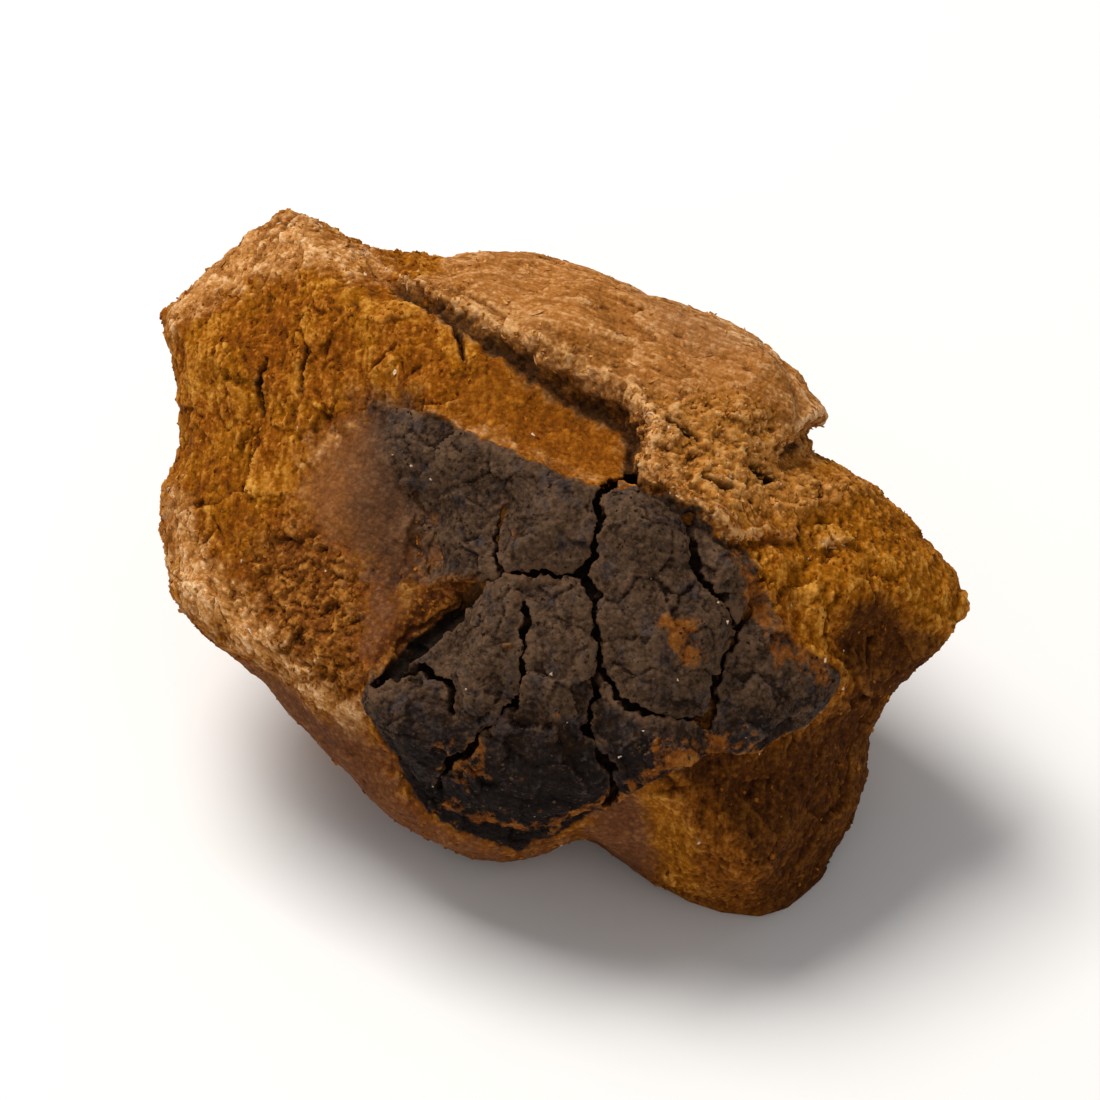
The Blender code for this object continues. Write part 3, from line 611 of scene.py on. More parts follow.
def texture_weights(zones):
    """How much of each texture shows at each point. What no zone takes is plain flesh."""
    shares = {
        crust_texture: smooth_step(-0.10, 0.20, zones["crust"]),
        rind_texture: smooth_step(-0.7, 1.1, np.maximum(zones["rind"], zones["mauve"])),
        ledge_texture: smooth_step(-0.5, 0.9, zones["ledge"]),
        coarse_texture: smooth_step(-0.6, 0.6, np.maximum(zones["coarse"], zones["rust"])),
        amber_texture: smooth_step(-0.5, 0.8, np.maximum(zones["amber"], zones["pocket"])),
    }
    left = np.ones(len(zones["crust"]))
    for texture, share in shares.items():
        shares[texture] = share * left
        left = left - shares[texture]
    shares[flesh_texture] = left
    return shares


def find_relief(points, zones):
    """How far each point moves out of the smooth surface, in millimetres."""
    relief = np.zeros(len(points))
    for texture, share in texture_weights(zones).items():
        chosen = share > LEAST_WEIGHT
        relief[chosen] += share[chosen] * texture(points[chosen])
    shallow = 1 - POCKET_SHALLOWER * smooth_step(-0.5, 0.2, zones["pocket"])
    relief += np.maximum(zones["groove"], 0) - GAP_DEPTH * shallow * smooth_step(-0.14, 0.16, zones["crack"])
    crest, undercut = (
        height * np.exp(-(((zones["lip"] - middle) / width) ** 2))
        for height, middle, width in (CREST, UNDERCUT)
    )
    return relief + (crest - undercut) * zones["lip_rise"] / HIGHEST_LIP + zones["tip_rise"]


def mean_of_neighbours(values, ends):
    """Each vertex's mean over the vertices that it shares an edge with."""
    count = len(values)
    links = np.bincount(ends.ravel(), minlength=count)
    sums = [
        np.bincount(ends[:, 0], values[ends[:, 1], axis], count)
        + np.bincount(ends[:, 1], values[ends[:, 0], axis], count)
        for axis in range(values.shape[1])
    ]
    return np.column_stack(sums) / np.maximum(links, 1)[:, None]


def read_numbers(items, name, kind=float, each=1):
    """One property of a whole collection as an array, with each item's numbers in a row of their own."""
    values = np.empty(len(items) * each, kind)
    items.foreach_get(name, values)
    return values if each == 1 else values.reshape(-1, each)


def read_vectors(items, name):
    """A collection's vectors as an array."""
    return read_numbers(items, name, each=3)


def link_object(name, data):
    """A new object with this data, in the scene."""
    made = bpy.data.objects.new(name, data)
    bpy.context.scene.collection.objects.link(made)
    return made


def as_data(name, mesh):
    """A finished bmesh as mesh data."""
    data = bpy.data.meshes.new(name)
    mesh.to_mesh(data)
    mesh.free()
    return data


def applied(holder):
    """The holder's mesh with its modifiers applied. The holder goes."""
    finished = bpy.data.meshes.new_from_object(holder.evaluated_get(bpy.context.evaluated_depsgraph_get()))
    bpy.data.objects.remove(holder)
    return finished


def fine_copy(edge):
    """A copy of the solid's mesh, evenly and finely meshed, with its facets smoothed away."""
    mesh = bmesh.new()
    mesh.from_mesh(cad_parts[NODE].data)
    bmesh.ops.remove_doubles(mesh, verts=mesh.verts[:], dist=MERGE_DISTANCE)
    holder = link_object("fine_copy", as_data("fine_copy", mesh))
    even = holder.modifiers.new("even_mesh", "REMESH")
    even.mode = "VOXEL"
    even.voxel_size = edge * MM
    soft = holder.modifiers.new("soft_facets", "SMOOTH")
    soft.factor = 0.5
    soft.iterations = SOFTENING_ROUNDS
    return applied(holder)


def roughen(data):
    """Moves a fine mesh by its relief, and keeps on it what the material reads and how it faced before."""
    places = read_vectors(data.vertices, "co")
    normals = read_vectors(data.vertex_normals, "vector")
    points = to_face(places)
    zones = find_zones(points)
    relief = find_relief(points, zones) * smooth_step(0, FLAT_FOOT, places[:, 2] / MM)
    places += normals * (relief * MM)[:, None]
    places[:, 2] = np.maximum(places[:, 2], 0)
    data.vertices.foreach_set("co", places.ravel())
    data.update()
    facing = data.attributes.new("facing", "FLOAT_VECTOR", "POINT")
    facing.data.foreach_set("vector", normals.ravel())
    ends = read_numbers(data.edges, "vertices", int, 2)
    soft = places
    for _ in range(BEND_ROUNDS):
        soft = mean_of_neighbours(soft, ends)
    bend = np.einsum("ij,ij->i", places - soft, read_vectors(data.vertex_normals, "vector")) / MM
    zones["rise"] = np.clip(relief / RISE_REACH, -REACH_LIMIT, REACH_LIMIT)
    zones["bend"] = np.clip(bend / BEND_REACH, -REACH_LIMIT, REACH_LIMIT)
    for name in KEPT:
        layer = data.attributes.new(name, "FLOAT", "POINT")
        layer.data.foreach_set("value", zones[name])


def hand_over(piece):
    """Says which body a piece rides on."""
    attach(piece, BODY)


def split_chunk(data):
    """The rough mesh in its three pieces: the flesh in front, the black crust, and the flesh behind."""
    facing = stand_up(-LEAN_ACROSS, -LEAN_UP, 1).normalized()
    middle = (stand_up(0, 0, -CUT_BEHIND) + Vector((0, 0, MIDDLE_HEIGHT))) * MM
    corners = read_numbers(data.loops, "vertex_index", int)
    depths = read_numbers(data.attributes["crust"].data, "value")
    starts = read_numbers(data.polygons, "loop_start", int)
    on_crust = np.add.reduceat(depths[corners], starts) > 0
    behind = (read_vectors(data.polygons, "center") - middle) @ np.array(facing) < 0
    return {FACE: ~behind & ~on_crust, CRUST: ~behind & on_crust, BACK: behind}


def part_of(data, chosen):
    """An open mesh of the chosen faces alone."""
    mesh = bmesh.new()
    mesh.from_mesh(data)
    mesh.faces.ensure_lookup_table()
    unwanted = [mesh.faces[n] for n in np.flatnonzero(~chosen)]
    bmesh.ops.delete(mesh, geom=unwanted, context="FACES")
    return mesh


def sharpen_crust(mesh):
    """Divides the crust's faces once more and adds its finest grain and hairline cracks."""
    bmesh.ops.subdivide_edges(mesh, edges=mesh.edges[:], cuts=1, use_grid_fill=True)
    mesh.normal_update()
    depth = mesh.verts.layers.float["crust"]
    points = to_face(np.array([tuple(vertex.co) for vertex in mesh.verts]))
    bent = points + 0.40 * vectors_at(points, 1.1, 48.0)
    cells = Cells(bent, 1.15, 36.0)
    grains = Cells(points, 0.27, 50.0)
    patchy = smooth_step(0.0, 0.3, noise_at(points, 2.6, 21.0))
    raised = smooth_step(0.3, 0.8, grains.chance[:, 0])
    fine = 0.045 * noise_at(points, 0.17, 22.0) + 0.07 * grains.domes() * raised
    fine = fine - 0.07 * patchy * cells.gaps(0.05)
    for vertex, lift in zip(mesh.verts, fine):
        inside = min(1, max(0, vertex[depth] / FINE_GRAIN_FROM))
        vertex.co += vertex.normal * (lift * inside * MM)


def thin_out(name, mesh):
    """The mesh as mesh data of no more triangles than the limit."""
    data = as_data(name, mesh)
    holder = link_object(name + "_full", data)
    triangles = len(data.loops) - 2 * len(data.polygons)
    if triangles > TRIANGLE_LIMIT:
        thinning = holder.modifiers.new("thinning", "DECIMATE")
        thinning.ratio = TRIANGLE_LIMIT / triangles
    return applied(holder)


def close_shell(name, data):
    """Draws the open edge in under the surface, closes it there, and marks the faces that can't be seen."""
    mesh = bmesh.new()
    mesh.from_mesh(data)
    hidden = mesh.faces.layers.int.new("hidden")
    facing = mesh.verts.layers.float_vector["facing"]
    for face in mesh.faces:
        face.smooth = True
    rim = [edge for edge in mesh.edges if edge.is_boundary]
    drawn = bmesh.ops.extrude_edge_only(mesh, edges=rim)["geom"]
    for item in drawn:
        if isinstance(item, bmesh.types.BMVert):
            item.co -= item[facing].normalized() * (SKIRT_DEPTH * MM)
            item.co.z = max(item.co.z, 0)
        elif isinstance(item, bmesh.types.BMFace):
            item[hidden] = 1
    for edge in rim:
        edge.smooth = False
    open_edges = [edge for edge in mesh.edges if edge.is_boundary]
    for face in bmesh.ops.holes_fill(mesh, edges=open_edges)["faces"]:
        face[hidden] = 1
    bmesh.ops.triangulate(mesh, faces=mesh.faces[:])
    mesh.to_mesh(data)
    mesh.free()
    data.name = name
    return link_object(name, data)


def read_chunk():
    """The seen surface as a table: each triangle's middle, normal and area, and its mean of what is kept."""
    columns = {name: [] for name in ("middle", "normal", "area") + KEPT}
    for name in (FACE, CRUST, BACK):
        data = bpy.data.objects[name].data
        seen = read_numbers(data.attributes["hidden"].data, "value", int) == 0
        columns["middle"].append(read_vectors(data.polygons, "center")[seen])
        columns["normal"].append(read_vectors(data.polygons, "normal")[seen])
        columns["area"].append(read_numbers(data.polygons, "area")[seen] / MM**2)
        corners = read_numbers(data.loops, "vertex_index", int)
        for kept in KEPT:
            values = read_numbers(data.attributes[kept].data, "value")
            columns[kept].append(values[corners].reshape(-1, 3).mean(axis=1)[seen])
    return {name: np.concatenate(parts) for name, parts in columns.items()}


def scatter(chunk, wanted, count, seed):
    """Picks this many triangles at random, more of them where more is wanted."""
    chance = wanted * chunk["area"]
    return np.random.default_rng(seed).choice(len(chance), count, p=chance / chance.sum())


def grain_matrix(middle, normal, size, long_way, chance):
    """Where one grain sits: on the surface, lying the long way, turned a little by chance."""
    upward = Vector(normal)
    along = long_way - upward * long_way.dot(upward)
    along = along.normalized() if along.length > NEARLY_NOUGHT else upward.orthogonal().normalized()
    turn = Matrix.Rotation(chance.gauss(0, GRAIN_WANDER), 3, upward)
    along = turn @ along
    aside = upward.cross(along)
    axes = Matrix((along, aside, upward)).transposed().to_4x4()
    return Matrix.Translation(middle) @ axes @ Matrix.Diagonal((*(Vector(size) * MM), 1))


def build_grains(name, chunk, picked, sizes, embed, long_way, seed):
    """One mesh of many small rough grains. Each keeps a tint, and how pale and how dark its place is, painted
    highlight and shade included.
    """
    chance = random.Random(seed)
    # Paler on the ledge and the shoulder, and on the rims, where it is painted highlight.
    pale = np.maximum(np.maximum(chunk["ledge"], chunk["coarse"]), chunk["rim"])
    # Darker on the darker flesh, and on the lower right side and under the lobe, where it is painted shade.
    shade = np.maximum.reduce([chunk[zone] for zone in ("side", "mauve", "rust", "pocket", "recess")])
    whole = bmesh.new()
    for title in GRAIN_LAYERS:
        whole.verts.layers.float.new(title)
    for start in range(0, len(picked), BATCH):
        batch = bmesh.new()
        layers = [batch.verts.layers.float.new(title) for title in GRAIN_LAYERS]
        for n in picked[start:start + BATCH]:
            length = chance.triangular(*sizes[0])
            width = length * chance.uniform(*sizes[1])
            height = width * chance.uniform(*GRAIN_FLATNESS)
            normal = chunk["normal"][n]
            middle = chunk["middle"][n] + normal * ((height * embed) * MM)
            place = grain_matrix(middle, normal, (length, width, height), long_way, chance)
            made = bmesh.ops.create_icosphere(batch, subdivisions=1, radius=0.5, matrix=place)
            kept = (chance.random(), pale[n], shade[n])
            for vertex in made["verts"]:
                nudge = Vector([chance.uniform(-1, 1) for _ in range(3)])
                vertex.co += nudge * (GRAIN_RAGGEDNESS * width * MM)
                for layer, value in zip(layers, kept):
                    vertex[layer] = value
        data = as_data("batch", batch)
        whole.from_mesh(data)
        bpy.data.meshes.remove(data)
    for vertex in whole.verts:
        vertex.co.z = max(vertex.co.z, 0)
    return link_object(name, as_data(name, whole))


def lay_grains(chunk, name, wanted, count, sizes, embed, long_way, seeds, finish):
    """Scatters grains of one kind where they are wanted, gives them their finish and hands them over."""
    picked = scatter(chunk, wanted, count, seeds[0])
    grains = build_grains(name, chunk, picked, sizes, embed, long_way, seeds[1])
    grains.data.materials.append(grain_material(name, bpy.context.scene.chunk_colours, *finish))
    hand_over(grains)


def add_node(tree, kind, inputs=None, **settings):
    """Adds a shader node, sets it up, and feeds its inputs with values or with other nodes' outputs."""
    made = tree.nodes.new(kind)
    for name, value in settings.items():
        setattr(made, name, value)
    for key, value in (inputs or {}).items():
        if isinstance(value, bpy.types.NodeSocket):
            tree.links.new(value, made.inputs[key])
        else:
            made.inputs[key].default_value = value
    return made


def maths(tree, operation, first, second=0.0, third=0.0, clamp=False):
    """One Math node's output."""
    inputs = {0: first, 1: second, 2: third}
    return add_node(tree, "ShaderNodeMath", inputs, operation=operation, use_clamp=clamp).outputs[0]


def less_half(tree, value):
    """A value from 0 to 1, moved to lie about nought."""
    return maths(tree, "SUBTRACT", value, 0.5)


def blend(tree, share, first, second):
    """One colour Mix node's output."""
    return add_node(tree, "ShaderNodeMix", {0: share, 6: first, 7: second}, data_type="RGBA").outputs[2]


def smooth_range(tree, value, low, high, result_low=0.0, result_high=1.0):
    """A value that goes smoothly from one result to the other as the input goes from low to high."""
    inputs = {"Value": value, 1: low, 2: high, 3: result_low, 4: result_high}
    return add_node(tree, "ShaderNodeMapRange", inputs, interpolation_type="SMOOTHSTEP").outputs[0]


def noise_node(tree, place, size, detail=3.0, roughness=0.55):
    """Noise from 0 to 1 whose lumps are this many millimetres."""
    inputs = {"Vector": place, "Scale": 1 / size, "Detail": detail, "Roughness": roughness}
    return add_node(tree, "ShaderNodeTexNoise", inputs).outputs[0]


def shade_ramp(tree, value, colours):
    """A ramp through evenly spaced colours."""
    made = add_node(tree, "ShaderNodeValToRGB", {0: value})
    stops = made.color_ramp.elements
    while len(stops) < len(colours):
        stops.new(1)
    for n, colour in enumerate(colours):
        stops[n].position = n / (len(colours) - 1)
        stops[n].color = (*colour, 1)
    return made.outputs[0]


def in_millimetres(tree):
    """Object coordinates in millimetres, turned to the drawn face: (across, up, out)."""
    place = add_node(tree, "ShaderNodeTexCoord").outputs["Object"]
    inputs = {"Vector": place, "Rotation": (FACE_TILT - math.pi / 2, 0, 0), "Scale": (1000, 1000, 1000)}
    return add_node(tree, "ShaderNodeMapping", inputs).outputs[0]


def attribute(tree, name):
    """The value that the mesh keeps under this name."""
    return add_node(tree, "ShaderNodeAttribute", attribute_name=name).outputs["Fac"]


def new_group(name, inputs, outputs):
    """An empty shader group with these sockets, all floats but for Place, which is a vector."""
    group = bpy.data.node_groups.new(name, "ShaderNodeTree")
    for title in inputs:
        kind = "NodeSocketVector" if title == "Place" else "NodeSocketFloat"
        group.interface.new_socket(title, in_out="INPUT", socket_type=kind)
    for title in outputs:
        group.interface.new_socket(title, in_out="OUTPUT", socket_type="NodeSocketFloat")
    return group, add_node(group, "NodeGroupInput").outputs, add_node(group, "NodeGroupOutput").inputs


def ragged_group():
    """Turns a zone's depth into a mask with a ragged, crumbly border."""
    group, given, result = new_group("Ragged border", ("Place", "Depth", "Raggedness", "Softness"), ("Mask",))
    broad = less_half(group, noise_node(group, given["Place"], 1.1, 4))
    depth = maths(group, "ADD", given["Depth"], maths(group, "MULTIPLY", broad, given["Raggedness"]))
    lowest = maths(group, "MULTIPLY", given["Softness"], -1.0)
    group.links.new(smooth_range(group, depth, lowest, given["Softness"]), result["Mask"])
    return group


def tone_group():
    """The light and dark of grainy matter: grains differ, raised parts are paler and hollows darker."""
    group, given, result = new_group("Grain tone", ("Place", "Rise", "Bend", "Contrast"), ("Tone", "Height"))
    place = given["Place"]
    patch = less_half(group, noise_node(group, place, 4.2, 2))
    mottle = less_half(group, noise_node(group, place, 1.1, 3))
    speck = less_half(group, noise_node(group, place, 0.30, 4, 0.65))
    cells = add_node(group, "ShaderNodeTexVoronoi", {"Vector": place, "Scale": 1 / GRAIN_SIZE}).outputs
    grain = less_half(group, add_node(group, "ShaderNodeSeparateColor", {0: cells["Color"]}).outputs[0])
    joint = maths(group, "SUBTRACT", 0.42, cells["Distance"])
    total = maths(group, "MULTIPLY", patch, 0.45)
    for value, share in (
        (mottle, 0.60), (speck, 1.00), (grain, 0.26), (joint, 0.22),
        (given["Rise"], 0.12), (given["Bend"], 0.16),
    ):
        total = maths(group, "ADD", total, maths(group, "MULTIPLY", value, share))
    tone = maths(group, "MULTIPLY_ADD", total, given["Contrast"], 0.5)
    group.links.new(tone, result["Tone"])
    height = maths(group, "MULTIPLY_ADD", joint, 0.45, noise_node(group, place, 0.22, 5, 0.7))
    group.links.new(height, result["Height"])
    return group


def streak_group():
    """Fine fibres as light and dark streaks, running at an angle across the drawn face."""
    group, given, result = new_group("Fibre streaks", ("Place", "Turn", "Length", "Width"), ("Streak",))
    back = maths(group, "MULTIPLY", given["Turn"], -1.0)
    turn = add_node(group, "ShaderNodeCombineXYZ", {2: back}).outputs[0]
    per_mm = ((1.0, "Length"), (1.0, "Width"), (0.7, "Width"))
    size = {axis: maths(group, "DIVIDE", top, given[side]) for axis, (top, side) in enumerate(per_mm)}
    scale = add_node(group, "ShaderNodeCombineXYZ", size).outputs[0]
    inputs = {"Vector": given["Place"], "Rotation": turn}
    turned_place = add_node(group, "ShaderNodeMapping", inputs).outputs[0]
    scaled = add_node(group, "ShaderNodeVectorMath", {0: turned_place, 1: scale}, operation="MULTIPLY")
    place = scaled.outputs[0]
    group.links.new(noise_node(group, place, 1.0, 4, 0.6), result["Streak"])
    return group


def use_group(tree, name, maker, **inputs):
    """Places a shared group, made the first time it is asked for, feeds it, and returns its outputs."""
    group = bpy.data.node_groups.get(name) or maker()
    feeds = {title.capitalize(): value for title, value in inputs.items()}
    return add_node(tree, "ShaderNodeGroup", feeds, node_tree=group).outputs


def ragged_mask(tree, place, name, raggedness, softness):
    """A zone that the mesh keeps, as a mask with a crumbly border."""
    feeds = {"place": place, "depth": attribute(tree, name), "raggedness": raggedness, "softness": softness}
    return use_group(tree, "Ragged border", ragged_group, **feeds)["Mask"]


def streaks(tree, place, turn, length, width):
    """Fibre streaks about nought."""
    found = use_group(tree, "Fibre streaks", streak_group, place=place, turn=turn, length=length, width=width)
    return less_half(tree, found["Streak"])


def new_material(name, specular=0.07):
    """A new material, its node tree and its Principled shader."""
    material = bpy.data.materials.new(name)
    material.use_nodes = True
    shader = material.node_tree.nodes["Principled BSDF"]
    shader.inputs["Metallic"].default_value = 0
    shader.inputs["Specular IOR Level"].default_value = specular
    return material, material.node_tree, shader


def add_bump(tree, shader, height, strength, distance):
    """Fine roughness that only bends the light, over a distance in millimetres."""
    inputs = {"Strength": strength, "Distance": distance * MM, "Height": height}
    tree.links.new(add_node(tree, "ShaderNodeBump", inputs).outputs[0], shader.inputs["Normal"])


def shades(colours, name):
    """The deep, body and light colour of a finish."""
    return [tuple(getattr(colours, f"{name}_{part}")) for part in SHADES]


def chunk_material(colours):
    """Flesh, ledge, hollow, rind and black crust in one finish, parted by the zones that the mesh keeps."""
    material, tree, shader = new_material("corky_flesh_and_crust")
    place = in_millimetres(tree)

    def zone(name, raggedness, softness):
        return ragged_mask(tree, place, name, raggedness, softness)

    def finish(name, own_tone):
        return shade_ramp(tree, own_tone, shades(colours, name))

    rise, bend = attribute(tree, "rise"), attribute(tree, "bend")
    tones = use_group(tree, "Grain tone", tone_group, place=place, rise=rise, bend=bend, contrast=0.85)
    tone = tones["Tone"]
    upright = streaks(tree, place, math.radians(86), 2.8, 0.38)
    fine = streaks(tree, place, GRAIN_TURN, 4.5, 0.22)
    flesh_tone = maths(tree, "MULTIPLY_ADD", upright, 0.75, tone)
    ledge_tone = maths(tree, "MULTIPLY_ADD", fine, 0.80, tone)

    spread = maths(tree, "MULTIPLY_ADD", upright, 0.4, noise_node(tree, place, 2.6, 3, 0.55))
    golden = smooth_range(tree, spread, 0.40, 0.64)
    colour = blend(tree, golden, finish("flesh", flesh_tone), finish("gold", flesh_tone))
    for name, pattern, over, raggedness, softness, share in LAYERS:
        own_tone = {"plain": tone, "upright": flesh_tone, "along": ledge_tone}[pattern]
        mask = maths(tree, "MULTIPLY", zone(name, raggedness, softness), share)
        colour = blend(tree, mask, colour, finish(over, own_tone))

    # The crust goes over softly where it is charred and sharply elsewhere. Its tone has painted light above
    # and painted shade below.
    charred = maths(tree, "ADD", zone("char", 3.6, 1.8), 0.16)
    crust = zone("crust", 1.2, charred)
    up = add_node(tree, "ShaderNodeSeparateXYZ", {0: place}).outputs[1]
    painted_light_by_height = smooth_range(tree, up, *CRUST_PAINTED_LIGHT)
    # Painted light again at the bottom of the crust.
    low_painted_light = smooth_range(tree, up, *CRUST_LOW_PAINTED_LIGHT)
    crust_tone_with_painted_light = maths(tree, "ADD", tone, maths(tree, "ADD", painted_light_by_height, low_painted_light))
    # The browner patches spread towards the top with the painted light.
    patches = maths(tree, "MULTIPLY_ADD", painted_light_by_height, 0.5, noise_node(tree, place, 1.3, 5, 0.68))
    warm = smooth_range(tree, patches, 0.46, 0.62)
    charcoal = blend(tree, warm, finish("crust", crust_tone_with_painted_light), finish("umber", crust_tone_with_painted_light))
    stain = maths(tree, "MAXIMUM", zone("smear", 2.6, 1.0), zone("ember", 2.6, 0.8))
    dusty = maths(tree, "MULTIPLY_ADD", stain, DUST_ON_STAINS, DUST_RARITY)
    dust = maths(tree, "ADD", noise_node(tree, place, 1.5, 6, 0.68), dusty)
    dust = maths(tree, "MULTIPLY", dust, DUST_SHARPNESS, clamp=True)
    charcoal = blend(tree, maths(tree, "MULTIPLY", dust, 0.85), charcoal, finish("ember", tone))
    colour = blend(tree, crust, colour, charcoal)

    # The crack walls, then the rusty pocket, then the black gap, painted shade deep in the cracks, which the
    # pocket keeps out.
    beside = maths(tree, "MULTIPLY", zone("crack", 0.9, 0.45), 0.65)
    colour = blend(tree, beside, colour, finish("wall", tone))
    pocket = zone("pocket", 1.0, 0.35)
    colour = blend(tree, pocket, colour, finish("pocket", tone))
    off_pocket = maths(tree, "MULTIPLY_ADD", pocket, -0.95, 0.9)
    crack = maths(tree, "MULTIPLY", zone("crack", 0.35, 0.16), off_pocket)
    colour = blend(tree, crack, colour, finish("crack", tone))
    tree.links.new(colour, shader.inputs["Base Color"])

    roughness = maths(tree, "MULTIPLY_ADD", tone, -0.10, 0.95)
    roughness = maths(tree, "MULTIPLY_ADD", crust, -0.20, roughness)
    roughness = maths(tree, "MULTIPLY_ADD", zone("rind", 1.6, 1.4), -0.26, roughness)
    tree.links.new(roughness, shader.inputs["Roughness"])
    height = maths(tree, "MULTIPLY_ADD", fine, 0.5, tones["Height"])
    add_bump(tree, shader, height, 0.9, 0.14)
    return material


def grain_material(name, colours, body, pale, dark, roughness):
    """The finish of loose grains: each one has its own tint, and takes after the place where it lies."""
    material, tree, shader = new_material(name)
    place = in_millimetres(tree)
    tint = attribute(tree, "tint")
    tones = use_group(tree, "Grain tone", tone_group, place=place, rise=0.0, bend=0.0, contrast=0.8)
    tone = maths(tree, "ADD", tones["Tone"], maths(tree, "MULTIPLY_ADD", tint, 0.50, -0.20))
    colour = shade_ramp(tree, tone, shades(colours, body))
    # The pale mask brings the rims' painted highlight, the dark one the painted shade of the lower right side
    # and under the lobe.
    for zone, finish in (("pale", pale), ("shade", dark)):
        mask = ragged_mask(tree, place, zone, 1.5, 0.9)
        colour = blend(tree, mask, colour, shade_ramp(tree, tone, shades(colours, finish)))
    flecked = maths(tree, "GREATER_THAN", tint, 1 - FLECK_SHARE)
    colour = blend(tree, flecked, colour, (*colours.fleck, 1))
    tree.links.new(colour, shader.inputs["Base Color"])
    shader.inputs["Roughness"].default_value = roughness
    add_bump(tree, shader, tones["Height"], 0.6, 0.08)
    return material


def colour_property(name, description, default):
    """A colour that the user may change, in scene-linear values."""
    return FloatVectorProperty(
        name=name, description=description, default=default, size=3, min=0, max=1, subtype="COLOR"
    )


def finish_settings():
    """The three colours of each finish, and the colour of the flecks, as settings."""
    made = {"fleck": colour_property("Flecks", "The few pale flecks among the loose grains", FLECK_COLOUR)}
    for finish, (title, *colours) in FINISHES.items():
        for (part, where), colour in zip(SHADES.items(), colours):
            name = f"{title.capitalize()}, {part}"
            made[f"{finish}_{part}"] = colour_property(name, where.format(title), colour)
    return made


class ChunkSizes(bpy.types.PropertyGroup):
    """How finely the chunk is meshed and how many loose pieces it carries."""

    mesh_edge: FloatProperty(
        name="Mesh edge", description="Edge of the fine mesh, in millimetres", default=0.155, min=0.12, max=1
    )
    crumbs: IntProperty(name="Crumbs", description="Grains of flesh on the surface", default=7600, min=1)
    grit: IntProperty(name="Grit", description="Grains of charcoal on the crust", default=1500, min=1)
    fibres: IntProperty(name="Fibres", description="Pale slivers at the lips and rims", default=900, min=1)


class ChunkColours(bpy.types.PropertyGroup):
    """The deep, body and light colour of each finish."""

    __annotations__ = finish_settings()


class StageSettings(bpy.types.PropertyGroup):
    """The floor, the lights and the camera."""

    floor: colour_property("Floor", "The pale floor", (0.80, 0.79, 0.78))
    key_power: FloatProperty(
        name="Key light", description="Power of the soft light above", default=7.4, unit="POWER"
    )
    fill_power: FloatProperty(
        name="Fill light", description="Power of the light in front", default=1.8, unit="POWER"
    )
    surround: FloatProperty(name="Surround", description="Light from all round", default=0.29, min=0)
    elevation: FloatProperty(
        name="Camera height", description="How far the camera looks down", default=FACE_TILT, subtype="ANGLE"
    )
    lens: FloatProperty(
        name="Lens", description="Focal length of the camera", default=210, min=1, unit="CAMERA"
    )


class MakeChunk(bpy.types.Operator):
    """Makes the chunk's rough surface: the flesh in front, the black crust, and the flesh behind."""

    bl_idname = "chaga.make_chunk"
    bl_label = "Chunk surface"

    def execute(self, context):
        noise.seed_set(NOISE_SEED)
        rough = fine_copy(context.scene.chunk_sizes.mesh_edge)
        roughen(rough)
        finish = chunk_material(context.scene.chunk_colours)
        for name, chosen in split_chunk(rough).items():
            mesh = part_of(rough, chosen)
            if name == CRUST:
                sharpen_crust(mesh)
            part = close_shell(name, thin_out(name, mesh))
            part.data.materials.clear()
            part.data.materials.append(finish)
            hand_over(part)
            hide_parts(NODE)
        bpy.data.meshes.remove(rough)
        return {"FINISHED"}


class MakeCrumbs(bpy.types.Operator):
    """Scatters crumbs and chips of flesh on the broken faces."""

    bl_idname = "chaga.make_crumbs"
    bl_label = "Flesh crumbs"

    def execute(self, context):
        chunk = read_chunk()
        off_crust = 1 - smooth_step(-0.3, 0.1, chunk["crust"])
        off_rind = 1 - smooth_step(-0.8, 0.2, chunk["rind"])
        grainy = np.maximum(chunk["coarse"], chunk["rust"])
        wanted = off_crust * off_rind * (0.7 + 1.2 * smooth_step(-0.5, 0.5, grainy))
        wanted *= 1 - 0.80 * smooth_step(-0.3, 0.8, np.maximum(chunk["ledge"], chunk["amber"]))
        wanted *= 1 - 0.8 * smooth_step(-0.6, 0.8, chunk["mauve"])
        wanted *= 1 + 1.5 * smooth_step(-0.3, 0.5, chunk["brow"])
        wanted *= 1 - smooth_step(-0.35, -0.05, chunk["lip_gap_painted_shade"])
        wanted *= 1 - 0.7 * smooth_step(-0.5, 0.8, np.maximum(chunk["side"], chunk["recess"]))
        wanted *= chunk["middle"][:, 2] > FLAT_FOOT * MM
        count = context.scene.chunk_sizes.crumbs
        finish = ("flesh", "coarse", "dark", 0.92)
        lay_grains(chunk, CRUMBS, wanted, count, CRUMB_SIZES, 0.05, stand_up(0.1, 1, 0), (101, 102), finish)
        return {"FINISHED"}


class MakeGrit(bpy.types.Operator):
    """Scatters charcoal grit on the black crust."""

    bl_idname = "chaga.make_grit"
    bl_label = "Crust grit"

    def execute(self, context):
        chunk = read_chunk()
        wanted = smooth_step(0.0, 0.4, chunk["crust"]) * (1 - smooth_step(-0.2, 0.0, chunk["crack"]))
        count = context.scene.chunk_sizes.grit
        finish = ("umber", "umber", "umber", 0.75)
        lay_grains(chunk, GRIT, wanted, count, GRIT_SIZES, 0.0, stand_up(1, 0.3, 0), (103, 104), finish)
        return {"FINISHED"}


